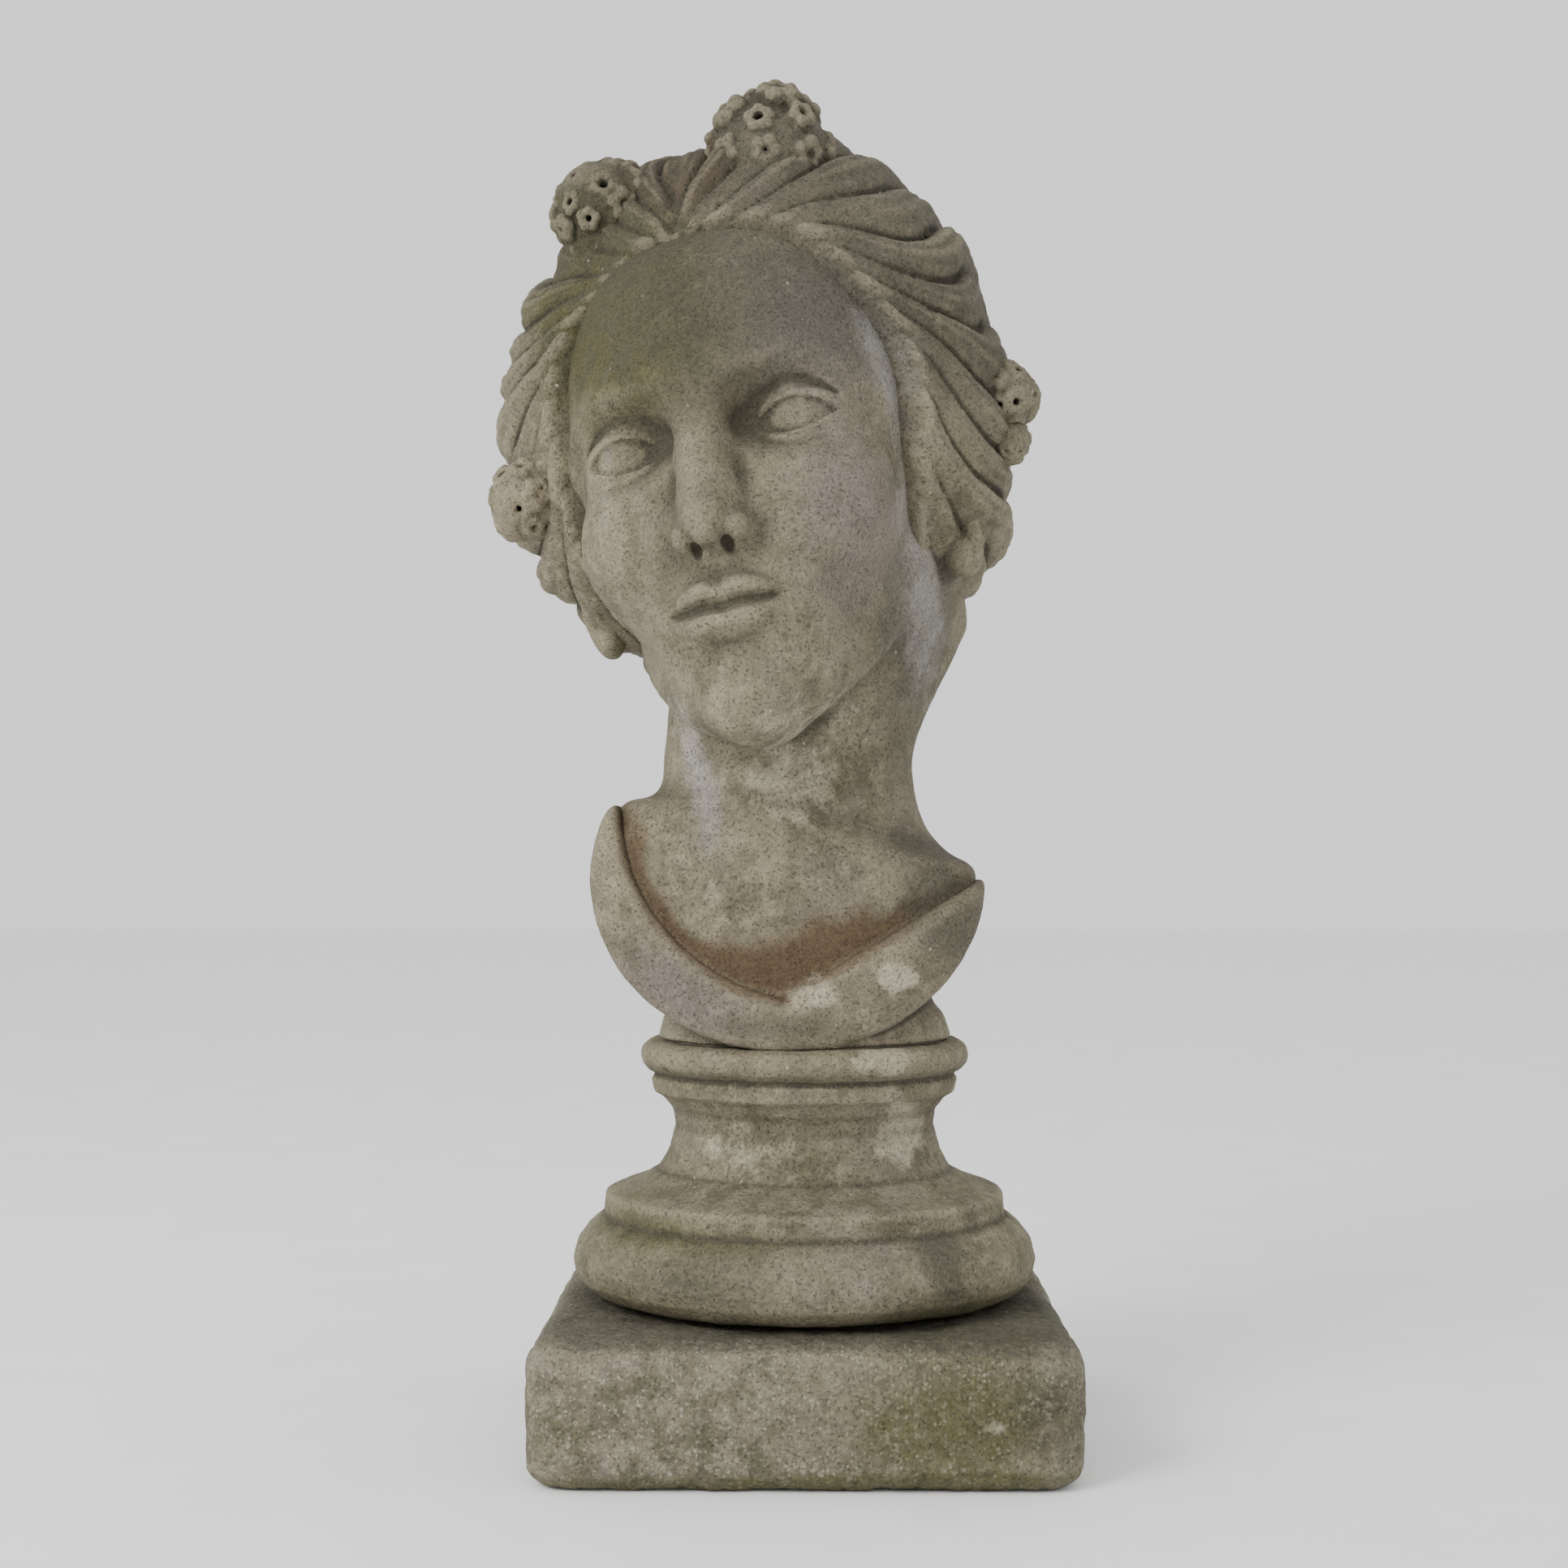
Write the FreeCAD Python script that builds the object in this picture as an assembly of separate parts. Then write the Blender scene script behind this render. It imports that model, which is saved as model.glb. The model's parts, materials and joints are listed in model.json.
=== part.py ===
import FreeCAD, Part
import math
import os

from FreeCAD import Matrix, Placement, Rotation, Vector

# A garden bust of weathered stone: a head and neck wedged into a pair of draped shoulders,
# on a turned socle that stands on a square plinth.
# Millimetres, +Z up, front towards -Y, origin at the centre of the plinth's underside.

UP = Vector(0, 0, 1)

# Plinth: a square block with worn, rounded edges.
PLINTH_SIDE = 187.0
PLINTH_HEIGHT = 49.0
PLINTH_CORNER = 15.0
PLINTH_TOP_EDGE = 10.0
PLINTH_BOTTOM_EDGE = 8.0

# Turning washer, which holds the socle just clear of the plinth.
WASHER_THICKNESS = 2.0
WASHER_RADIUS = 62.0

# Plinth pin: grouted in the plinth, free in the socle.
PLINTH_PIN_RADIUS = 7.0
PLINTH_PIN_DEPTH = 34.0
PLINTH_PIN_STAND = 36.0
RUNNING_GAP = 0.3
GROUT_THICKNESS = 3.0
PIN_CHAMFER = 1.5

# Socle: radii of its mouldings from the bottom up, and their heights over its foot.
SOCLE_BOTTOM = PLINTH_HEIGHT + WASHER_THICKNESS
SOCLE_HEIGHT = 91.5
SOCLE_TOP = SOCLE_BOTTOM + SOCLE_HEIGHT
BASE_ROLL_RADIUS = 85.0
TOP_ROLL_RADIUS = 60.8

# Bed joint between the socle and the bust's foot.
JOINT_THICKNESS = 1.5
JOINT_SETBACK = 2.0
FOOT_BOTTOM = SOCLE_TOP + JOINT_THICKNESS

# Shoulders: a barrel-shaped chest cut to an elliptic outline as seen from the front.
OUTLINE_CENTRE = Vector(-6, 0, 203)
OUTLINE_HALF_WIDTH = 71.0
OUTLINE_HALF_HEIGHT = OUTLINE_CENTRE.z - FOOT_BOTTOM
OUTLINE_EDGE = 8.0
CHEST_CENTRE = Vector(-6, 0, 187)
CHEST_RADII = Vector(90, 59, 82)
FOOT_RADII = ((54.0, 0.0), (51.9, 7.4), (47.6, 12.9), (46.4, 18.0), (46.4, 24.0))

# V-shaped seat of the neck, cut through the shoulders from front to back: an arc on one side
# and a straight line on the other, both starting at the point of the V.
SEAT_POINT = Vector(-8, 0, 161)
SEAT_ARC_MIDDLE = Vector(-42, 0, 178)
SEAT_ARC_END = Vector(-66, 0, 236)
SEAT_RIGHT_END = Vector(72, 0, 207)
SEAT_REACH = 100.0

# Skin inside the neckline, set back behind the drapery.
SKIN_SETBACK = 5.0
SHOULDER_TIPS = (Vector(-67, 0, 233), Vector(67, 0, 207))

# Centre pin, grouted through all three upper stones.
CENTRE_PIN_RADIUS = 7.0
CENTRE_PIN_BOTTOM = 98.0
CENTRE_PIN_TOP = 228.0

# Head, in its own frame: +X to its left, -Y forward, chin at height 0.
HEAD_ORIGIN = Vector(4, -23, 241)
HEAD_YAW = 15.0
HEAD_PITCH = 6.0
HEAD_ROLL = 11.5

# Hair: rings of (height, half width, front, back) for its main volume, then the rolled locks
# that frame the face, the knot at the back and the clusters of flowers (centre, radius).
HAIR_RINGS = (
    (48, 46, 6, 68), (60, 60, -10, 78), (85, 76, -32, 94), (115, 87, -46, 102),
    (150, 91, -52, 103), (185, 84, -52, 96), (212, 66, -46, 79), (231, 42, -30, 56),
    (239, 14, -8, 30),
)
ROLLS_PER_SIDE = 7
ROLL_RADII = Vector(18, 32, 18)
ROLL_RING_CENTRE = Vector(0, -20, 136)
ROLL_RING_HALF_WIDTH = 78.0
ROLL_RING_HALF_HEIGHT = 92.0
KNOT_CENTRE = Vector(0, 97, 117)
KNOT_RADII = Vector(31, 27, 28)
CLUSTERS = (
    (Vector(95, 3, 121), 12.0),
    (Vector(92, 7, 106), 8.5),
    (Vector(-82, -41, 113), 14.5),
    (Vector(31, -34, 220), 22.0),
    (Vector(-32, -46, 211), 19.0),
)
FLOWERS_IN_CLUSTER = 5


def cylinder(radius, bottom, top):
    return Part.makeCylinder(radius, top - bottom, Vector(0, 0, bottom), UP)


def ellipsoid(centre, radii):
    """A closed ellipsoid with its axes along X, Y and Z."""
    stretch = Matrix()
    stretch.scale(radii.x, radii.y, radii.z)
    ball = Part.makeSphere(1.0).transformGeometry(stretch)
    ball.translate(centre)
    return ball


def ellipse_wire(centre, half_width, half_depth, tilt=0.0):
    """A closed ellipse in a plane turned by tilt degrees about Y from the horizontal."""
    ring = Part.Ellipse(Vector(0, 0, 0), max(half_width, half_depth), min(half_width, half_depth))
    wire = Part.Wire([ring.toShape()])
    if half_depth > half_width:
        wire.rotate(Vector(0, 0, 0), UP, 90)
    wire.rotate(Vector(0, 0, 0), Vector(0, 1, 0), tilt)
    wire.translate(centre)
    return wire


def revolved(outline):
    """A solid turned about Z from edges in the XZ plane that form a closed outline."""
    face = Part.Face(Part.Wire(Part.__sortEdges__(outline)))
    return face.revolve(Vector(0, 0, 0), UP, 360)


def line(start, end):
    return Part.LineSegment(start, end).toShape()


def arc(start, middle, end):
    return Part.Arc(start, middle, end).toShape()


def at(radius, height):
    """A point of a turned outline."""
    return Vector(radius, 0, height)


def pin(radius, bottom, top):
    """A round bar with chamfered ends."""
    bar = cylinder(radius, bottom, top)
    rims = [e for e in bar.Edges if abs(e.BoundBox.ZLength) < 1e-6]
    return bar.makeChamfer(PIN_CHAMFER, rims)


def sleeve(inner, outer, bottom, top):
    return cylinder(outer, bottom, top).cut(cylinder(inner, bottom, top))


def plinth():
    half = PLINTH_SIDE / 2
    block = Part.makeBox(PLINTH_SIDE, PLINTH_SIDE, PLINTH_HEIGHT, Vector(-half, -half, 0))
    upright = [e for e in block.Edges if e.BoundBox.ZLength > PLINTH_HEIGHT / 2]
    block = block.makeFillet(PLINTH_CORNER, upright)
    top = [e for e in block.Edges if e.BoundBox.ZMin > PLINTH_HEIGHT - 1e-3]
    block = block.makeFillet(PLINTH_TOP_EDGE, top)
    bottom = [e for e in block.Edges if e.BoundBox.ZMax < 1e-3]
    block = block.makeFillet(PLINTH_BOTTOM_EDGE, bottom)
    hole = PLINTH_PIN_RADIUS + GROUT_THICKNESS
    return block.cut(cylinder(hole, PLINTH_HEIGHT - PLINTH_PIN_DEPTH, PLINTH_HEIGHT + 1))


def plinth_pin():
    bottom = PLINTH_HEIGHT - PLINTH_PIN_DEPTH
    return pin(PLINTH_PIN_RADIUS, bottom, PLINTH_HEIGHT + PLINTH_PIN_STAND)


def plinth_pin_grout():
    outer = PLINTH_PIN_RADIUS + GROUT_THICKNESS
    return sleeve(PLINTH_PIN_RADIUS, outer, PLINTH_HEIGHT - PLINTH_PIN_DEPTH, PLINTH_HEIGHT)


def turning_washer():
    inner = PLINTH_PIN_RADIUS + RUNNING_GAP
    return sleeve(inner, WASHER_RADIUS, PLINTH_HEIGHT, SOCLE_BOTTOM)


def socle():
    """Base roll, fillet, hollow and top roll, turned in one stone."""
    z = SOCLE_BOTTOM
    foot, base_seam = at(76, z), at(76.5, z + 26.5)
    fillet_foot, fillet_top = at(73.6, z + 27.5), at(73.2, z + 35.5)
    slope_top = at(70, z + 37.3)
    hollow_top, collar_foot = at(52.4, z + 71.2), at(55.3, z + 73.2)
    collar_top, roll_foot = at(56.2, z + 79), at(57.6, z + 80.2)
    roll_top = at(57.6, SOCLE_TOP)
    hollow = Part.BSplineCurve()
    hollow.interpolate([
        slope_top, at(60.5, z + 40.6), at(54, z + 44.2), at(50.2, z + 51),
        at(47.4, z + 60.5), at(48.4, z + 66.3), hollow_top,
    ])
    outline = [
        line(at(0, z), foot),
        arc(foot, at(BASE_ROLL_RADIUS, z + 12.2), base_seam),
        line(base_seam, fillet_foot),
        line(fillet_foot, fillet_top),
        line(fillet_top, slope_top),
        hollow.toShape(),
        line(hollow_top, collar_foot),
        line(collar_foot, collar_top),
        line(collar_top, roll_foot),
        arc(roll_foot, at(TOP_ROLL_RADIUS, z + 86), roll_top),
        line(roll_top, at(0, SOCLE_TOP)),
        line(at(0, SOCLE_TOP), at(0, z)),
    ]
    lower_hole = cylinder(PLINTH_PIN_RADIUS + RUNNING_GAP, z - 1, z + PLINTH_PIN_STAND)
    upper_hole = cylinder(CENTRE_PIN_RADIUS + GROUT_THICKNESS, CENTRE_PIN_BOTTOM, SOCLE_TOP + 1)
    return revolved(outline).cut(lower_hole).cut(upper_hole)


def socle_bedding():
    inner = CENTRE_PIN_RADIUS + GROUT_THICKNESS
    return sleeve(inner, FOOT_RADII[0][0] - JOINT_SETBACK, SOCLE_TOP, FOOT_BOTTOM)


def seat_prism(drop=0.0):
    """Everything above the V-shaped seat, grown on all sides by drop."""
    upper_left = SEAT_ARC_END + UP * SEAT_REACH
    upper_right = SEAT_RIGHT_END + UP * SEAT_REACH
    outline = [
        arc(SEAT_POINT, SEAT_ARC_MIDDLE, SEAT_ARC_END),
        line(SEAT_ARC_END, upper_left),
        line(upper_left, upper_right),
        line(upper_right, SEAT_RIGHT_END),
        line(SEAT_RIGHT_END, SEAT_POINT),
    ]
    face = Part.Face(Part.Wire(outline))
    if drop:
        face = face.makeOffset2D(drop, 2)
    face.translate(Vector(0, 200, 0))
    return face.extrude(Vector(0, -400, 0))


def front_outline(inset=0.0):
    """The rounded shape that the bust is cut to, as seen from the front."""
    wire = ellipse_wire(
        Vector(0, 0, 0), OUTLINE_HALF_WIDTH - inset, OUTLINE_HALF_HEIGHT - inset
    )
    wire.rotate(Vector(0, 0, 0), Vector(1, 0, 0), 90)
    wire.translate(OUTLINE_CENTRE + Vector(0, 150, 0))
    return Part.Face(wire).extrude(Vector(0, -300, 0))


def chest(inset=0.0):
    """The barrel of the chest, cut to the front outline."""
    barrel = ellipsoid(CHEST_CENTRE, CHEST_RADII - Vector(inset, inset, inset))
    return barrel.common(front_outline(inset))


def foot():
    """The bust's own turned foot, which runs up into the shoulders."""
    points = [at(r, FOOT_BOTTOM + h) for r, h in FOOT_RADII]
    flare = Part.BSplineCurve()
    flare.interpolate(points)
    top = FOOT_BOTTOM + FOOT_RADII[-1][1]
    outline = [
        line(at(0, FOOT_BOTTOM), points[0]),
        flare.toShape(),
        line(points[-1], at(0, top)),
        line(at(0, top), at(0, FOOT_BOTTOM)),
    ]
    return revolved(outline)


def shoulder_slope():
    """Degrees that the line between the shoulder tips is turned about Y."""
    across = SHOULDER_TIPS[1] - SHOULDER_TIPS[0]
    return -math.degrees(math.atan2(across.z, across.x))


def above_shoulders():
    """A block that covers everything above the line between the shoulder tips."""
    block = Part.makeBox(400, 400, 200, Vector(-200, -200, 0))
    block.rotate(Vector(0, 0, 0), Vector(0, 1, 0), shoulder_slope())
    block.translate((SHOULDER_TIPS[0] + SHOULDER_TIPS[1]) * 0.5)
    return block


def shoulders():
    """Draped shoulders with a rounded lower edge, their foot and the seat for the neck."""
    body = chest()
    body = body.makeFillet(OUTLINE_EDGE, body.Edges)
    body = body.fuse(foot()).cut(seat_prism(JOINT_THICKNESS)).cut(above_shoulders())
    hole = cylinder(CENTRE_PIN_RADIUS + GROUT_THICKNESS, FOOT_BOTTOM - 1, CENTRE_PIN_TOP)
    return body.cut(hole)


def neck_bedding():
    """Mortar along both faces of the seat, set back from the outside."""
    bed = seat_prism(JOINT_THICKNESS).cut(seat_prism())
    bed = bed.common(chest(SKIN_SETBACK + JOINT_SETBACK)).cut(above_shoulders())
    return bed.cut(cylinder(CENTRE_PIN_RADIUS + GROUT_THICKNESS, FOOT_BOTTOM, CENTRE_PIN_TOP))


def centre_pin():
    return pin(CENTRE_PIN_RADIUS, CENTRE_PIN_BOTTOM, CENTRE_PIN_TOP)


def pin_grout(bottom, top):
    return sleeve(CENTRE_PIN_RADIUS, CENTRE_PIN_RADIUS + GROUT_THICKNESS, bottom, top)


def neck():
    """The wedge that sits in the seat, and the neck that leans up from it into the head."""
    slope = shoulder_slope()
    root = (SHOULDER_TIPS[0] + SHOULDER_TIPS[1]) * 0.5
    sections = [
        ellipse_wire(root - Vector(0, 0, 8), 68, 50, slope),
        ellipse_wire(root, 63, 49, slope),
        ellipse_wire(Vector(-3, 0, 231), 51, 47, slope * 0.6),
        ellipse_wire(Vector(-6, -1, 246), 46, 47, slope * 0.2),
        ellipse_wire(Vector(-3, -1, 264), 47, 49),
        ellipse_wire(Vector(5, 4, 287), 49, 53),
        ellipse_wire(Vector(9, 9, 312), 52, 57),
    ]
    column = Part.makeLoft(sections, True, False)
    wedge = chest(SKIN_SETBACK).cut(above_shoulders())
    return column.fuse(wedge).common(seat_prism())


def face():
    """Lower face and brow as one smooth egg, from the chin up to the hair."""
    levels = (
        (1, 13, -84, -58), (8, 26, -88, -40), (25, 40, -86, -20), (50, 51, -88, 0),
        (80, 61, -89, 20), (110, 68, -88, 30), (140, 68, -84, 40), (170, 58, -70, 40),
    )
    rings = [
        ellipse_wire(Vector(0, (front + back) / 2, height), half_width, (back - front) / 2)
        for height, half_width, front, back in levels
    ]
    return Part.makeLoft(rings, True, False)


def nose():
    bridge = ellipse_wire(Vector(0, -86, 108), 6, 5)
    middle = ellipse_wire(Vector(0, -90, 84), 8, 9)
    tip = ellipse_wire(Vector(0, -92, 62), 14, 17)
    base = ellipse_wire(Vector(0, -91, 57), 10, 13)
    return Part.makeLoft([bridge, middle, tip, base], True, False)


def hair():
    rings = [
        ellipse_wire(Vector(0, (front + back) / 2, height), half_width, (back - front) / 2)
        for height, half_width, front, back in HAIR_RINGS
    ]
    return Part.makeLoft(rings, True, False)


def rolls():
    """Rolled locks that frame the face on both sides, from the parting to the ears."""
    balls = []
    for side in (-1, 1):
        for i in range(ROLLS_PER_SIDE):
            turn = math.radians(80 - 102 * i / (ROLLS_PER_SIDE - 1))
            across = side * ROLL_RING_HALF_WIDTH * math.cos(turn)
            up = ROLL_RING_HALF_HEIGHT * math.sin(turn)
            place = ROLL_RING_CENTRE + Vector(across, 0, up)
            balls.append(ellipsoid(place, ROLL_RADII))
    return balls


def cluster(centre, radius):
    """A knob of flowers: a ball with smaller balls round its outer side."""
    outward = (centre - ROLL_RING_CENTRE).normalize()
    across = outward.cross(UP).normalize()
    balls = [Part.makeSphere(radius, centre)]
    for i in range(FLOWERS_IN_CLUSTER):
        turn = 360.0 * i / FLOWERS_IN_CLUSTER
        spoke = Rotation(outward, turn).multVec(across)
        place = centre + (outward * 0.45 + spoke * 0.6) * radius
        balls.append(Part.makeSphere(radius * 0.5, place))
    return balls


def head_and_neck():
    """Head, hair, flowers and neck, carved from one stone."""
    balls = rolls()
    for centre, radius in CLUSTERS:
        balls += cluster(centre, radius)
    head = hair().fuse([face(), nose(), ellipsoid(KNOT_CENTRE, KNOT_RADII)] + balls)
    turn = (
        Rotation(UP, -HEAD_YAW)
        .multiply(Rotation(Vector(1, 0, 0), -HEAD_PITCH))
        .multiply(Rotation(Vector(0, 1, 0), -HEAD_ROLL))
    )
    head.Placement = Placement(HEAD_ORIGIN, turn)
    stone = head.fuse(neck())
    hole = cylinder(CENTRE_PIN_RADIUS + GROUT_THICKNESS, FOOT_BOTTOM, CENTRE_PIN_TOP)
    return stone.cut(hole)


NODES = {
    "plinth": plinth,
    "plinth_pin": plinth_pin,
    "plinth_pin_grout": plinth_pin_grout,
    "turning_washer": turning_washer,
    "socle": socle,
    "socle_bedding": socle_bedding,
    "socle_pin_grout": lambda: pin_grout(CENTRE_PIN_BOTTOM, SOCLE_TOP),
    "shoulders": shoulders,
    "shoulders_pin_grout": lambda: pin_grout(FOOT_BOTTOM, SEAT_POINT.z),
    "centre_pin": centre_pin,
    "neck_bedding": neck_bedding,
    "neck_pin_grout": lambda: pin_grout(SEAT_POINT.z + JOINT_THICKNESS, CENTRE_PIN_TOP),
    "head_and_neck": head_and_neck,
}

os.makedirs("parts", exist_ok=True)
for name, make in NODES.items():
    shape = make()
    shape.exportStep(f"parts/{name}.step")
    print(name, shape.isValid(), len(shape.Solids), round(shape.Volume / 1000, 2), "cm3")
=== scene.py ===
import json
import math

import bpy
import numpy as np
import openvdb
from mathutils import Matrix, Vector

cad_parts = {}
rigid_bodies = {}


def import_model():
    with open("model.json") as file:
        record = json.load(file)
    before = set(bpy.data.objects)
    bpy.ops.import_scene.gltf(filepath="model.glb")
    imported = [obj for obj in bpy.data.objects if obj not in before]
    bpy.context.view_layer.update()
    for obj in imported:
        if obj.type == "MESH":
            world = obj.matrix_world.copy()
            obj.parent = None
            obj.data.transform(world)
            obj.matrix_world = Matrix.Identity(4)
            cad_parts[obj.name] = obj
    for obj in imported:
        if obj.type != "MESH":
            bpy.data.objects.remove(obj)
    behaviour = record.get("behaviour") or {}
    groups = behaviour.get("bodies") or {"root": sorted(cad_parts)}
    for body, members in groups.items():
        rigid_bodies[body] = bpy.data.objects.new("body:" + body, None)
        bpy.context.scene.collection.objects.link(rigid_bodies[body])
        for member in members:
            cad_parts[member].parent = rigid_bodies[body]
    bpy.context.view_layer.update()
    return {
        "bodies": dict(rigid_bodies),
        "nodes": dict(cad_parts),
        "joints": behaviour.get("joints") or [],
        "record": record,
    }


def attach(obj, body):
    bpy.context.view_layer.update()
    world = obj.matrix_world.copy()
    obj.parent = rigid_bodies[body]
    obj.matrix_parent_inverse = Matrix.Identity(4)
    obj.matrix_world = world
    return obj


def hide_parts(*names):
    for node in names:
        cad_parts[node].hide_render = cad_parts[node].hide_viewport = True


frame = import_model()

# Sculpted stone bust. Shapes are built in millimetres as distance fields, then turned to meshes.
# x points to the viewer's right, y away from the viewer and z up; the plinth stands on z = 0.
RNG = np.random.default_rng(7)
FAR = 60.0  # the distance stored where no form has been added yet
TINY = 1e-6

# ---------------------------------------------------------------- head frame
HEAD_ORIGIN = np.array((4.0, -23.0, 241.0))
HEAD_YAW, HEAD_PITCH, HEAD_ROLL = 15.0, 6.0, 11.5


def turn(axis, degrees):
    """The matrix that turns by degrees about axis 0, 1 or 2."""
    c, s = math.cos(math.radians(degrees)), math.sin(math.radians(degrees))
    i, j = [(1, 2), (2, 0), (0, 1)][axis]
    m = np.eye(3)
    m[i, i] = m[j, j] = c
    m[i, j] = -s
    m[j, i] = s
    return m


HEAD_TURN = turn(2, -HEAD_YAW) @ turn(0, -HEAD_PITCH) @ turn(1, -HEAD_ROLL)
HEAD = (HEAD_TURN, HEAD_ORIGIN)
WORLD = (np.eye(3), np.zeros(3))


# ---------------------------------------------------------------- field tools
def smooth_min(a, b, k):
    """The lower of two fields, with the crease between them rounded over about k millimetres."""
    if np.ndim(k) == 0 and k <= 0:
        return np.minimum(a, b)
    h = np.clip(0.5 + 0.5 * (b - a) / k, 0, 1)
    return b + (a - b) * h - k * h * (1 - h)


def smooth_max(a, b, k):
    return -smooth_min(-a, -b, k)


def smoothstep(low, high, x):
    """Goes smoothly from 0 at low to 1 at high, whichever of the two is larger."""
    t = np.clip((x - low) / (high - low), 0, 1)
    return t * t * (3 - 2 * t)


def bell(x, middle, width):
    """A smooth hump of height 1 round the middle."""
    return np.exp(-(((x - middle) / width) ** 2))


def ellipsoid_gap(offsets, radii):
    """About the distance to an ellipse or ellipsoid, from offsets along its axes."""
    flat = np.sqrt(sum((p / r) ** 2 for p, r in zip(offsets, radii)))
    steep = np.sqrt(sum((p / r**2) ** 2 for p, r in zip(offsets, radii)))
    return flat * (flat - 1) / (steep + TINY)


def spline(x, xs, ys):
    """A smooth curve through the points (xs, ys), with the ends held flat outside them."""
    xs, ys = np.asarray(xs, float), np.asarray(ys, float)
    slope = np.gradient(ys, xs)
    x = np.clip(x, xs[0], xs[-1])
    i = np.clip(np.searchsorted(xs, x) - 1, 0, len(xs) - 2)
    h = xs[i + 1] - xs[i]
    t = (x - xs[i]) / h
    t2, t3 = t * t, t * t * t
    start = (2 * t3 - 3 * t2 + 1) * ys[i] + (t3 - 2 * t2 + t) * h * slope[i]
    return start + (3 * t2 - 2 * t3) * ys[i + 1] + (t3 - t2) * h * slope[i + 1]


class Clay:
    """A distance field on a regular grid, shaped by adding and cutting simple forms."""

    def __init__(self, low, high, step, frame=WORLD):
        self.low = np.array(low, float)
        self.step = step * 1.0
        self.count = np.ceil((np.array(high, float) - self.low) / self.step).astype(int) + 1
        self.field = np.full(self.count, FAR, np.float32)
        self.frame = frame

    def window(self, low, high):
        """The slices of the grid between two corners and the coordinates of their points."""
        a = np.floor((np.array(low, float) - self.low) / self.step).astype(int)
        b = np.ceil((np.array(high, float) - self.low) / self.step).astype(int) + 1
        a = np.clip(a, 0, self.count)
        b = np.clip(b, 0, self.count)
        slices = tuple(slice(i, j) for i, j in zip(a, b))
        axes = [self.low[i] + self.step * np.arange(a[i], b[i]) for i in range(3)]
        grid = np.meshgrid(*axes, indexing="ij", sparse=True)
        return slices, [g.astype(np.float32) for g in grid]

    def coordinates(self):
        """The x, y and z of every point of the grid, ready to broadcast together."""
        return self.window(self.low, self.low + self.step * (self.count - 1))[1]

    def combine(self, where, new, blend, cut):
        """Adds the field of a form to a part of the grid, or cuts it away."""
        old = self.field[where]
        joined = smooth_max(old, -new, blend) if cut else smooth_min(old, new, blend)
        self.field[where] = joined

    def shape(self, form, low, high, blend=0.0, cut=False):
        """Adds or cuts a form, which is a function of x, y and z in the clay's own frame."""
        pad = blend + 2 * self.step
        where, (x, y, z) = self.window(np.array(low) - pad, np.array(high) + pad)
        if self.field[where].size:
            self.combine(where, form(x, y, z), blend, cut)

    def ball(self, centre, radii, blend=0.0, cut=False, lean=None):
        """An ellipsoid, optionally turned by the matrix lean."""
        centre = np.array(centre, float)
        radii = np.array(radii, float) * np.ones(3)
        reach = radii if lean is None else np.full(3, radii.max())

        def form(x, y, z):
            p = [x - centre[0], y - centre[1], z - centre[2]]
            if lean is not None:
                p = [sum(lean[k][i] * p[k] for k in range(3)) for i in range(3)]
            return ellipsoid_gap(p, radii)

        self.shape(form, centre - reach, centre + reach, blend, cut)

    def tube(self, points, radii, blend=0.0, cut=False, steps=5):
        """A round tube of changing radius along a smooth curve through points."""
        points = np.array(points, float)
        radii = np.array(radii, float) * np.ones(len(points))
        t = np.arange(len(points), dtype=float)
        fine = np.linspace(0, len(points) - 1, (len(points) - 1) * steps + 1)
        path = np.stack([spline(fine, t, points[:, i]) for i in range(3)], 1)
        thick = spline(fine, t, radii)
        pad = blend + 2 * self.step + thick.max()
        where = self.window(path.min(0) - pad, path.max(0) + pad)[0]
        new = np.full(self.field[where].shape, FAR, np.float32)
        if new.size == 0:
            return
        for a, b, ra, rb in zip(path[:-1], path[1:], thick[:-1], thick[1:]):
            ab = b - a
            square = float(ab @ ab) + 1e-9
            reach = max(ra, rb) + blend + 2 * self.step
            near, (u, v, w) = self.window(np.minimum(a, b) - reach, np.maximum(a, b) + reach)
            if 0 in (u.size, v.size, w.size):
                continue
            inner = tuple(
                slice(n.start - q.start, n.stop - q.start) for n, q in zip(near, where)
            )
            along = ((u - a[0]) * ab[0] + (v - a[1]) * ab[1] + (w - a[2]) * ab[2]) / square
            along = np.clip(along, 0, 1)
            gap = (
                (u - a[0] - along * ab[0]) ** 2
                + (v - a[1] - along * ab[1]) ** 2
                + (w - a[2] - along * ab[2]) ** 2
            )
            new[inner] = np.minimum(new[inner], np.sqrt(gap) - ra - along * (rb - ra))
        self.combine(where, new, blend, cut)

    def sample(self, grid, points):
        """Values of a grid at points given in grid steps, by trilinear interpolation."""
        i = np.clip(np.floor(points).astype(int), 0, self.count - 2)
        f = points - i
        total = 0
        for corner in range(8):
            o = [(corner >> k) & 1 for k in range(3)]
            weight = 1
            for k in range(3):
                weight = weight * (f[:, k] if o[k] else 1 - f[:, k])
            total = total + weight * grid[i[:, 0] + o[0], i[:, 1] + o[1], i[:, 2] + o[2]]
        return total

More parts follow.
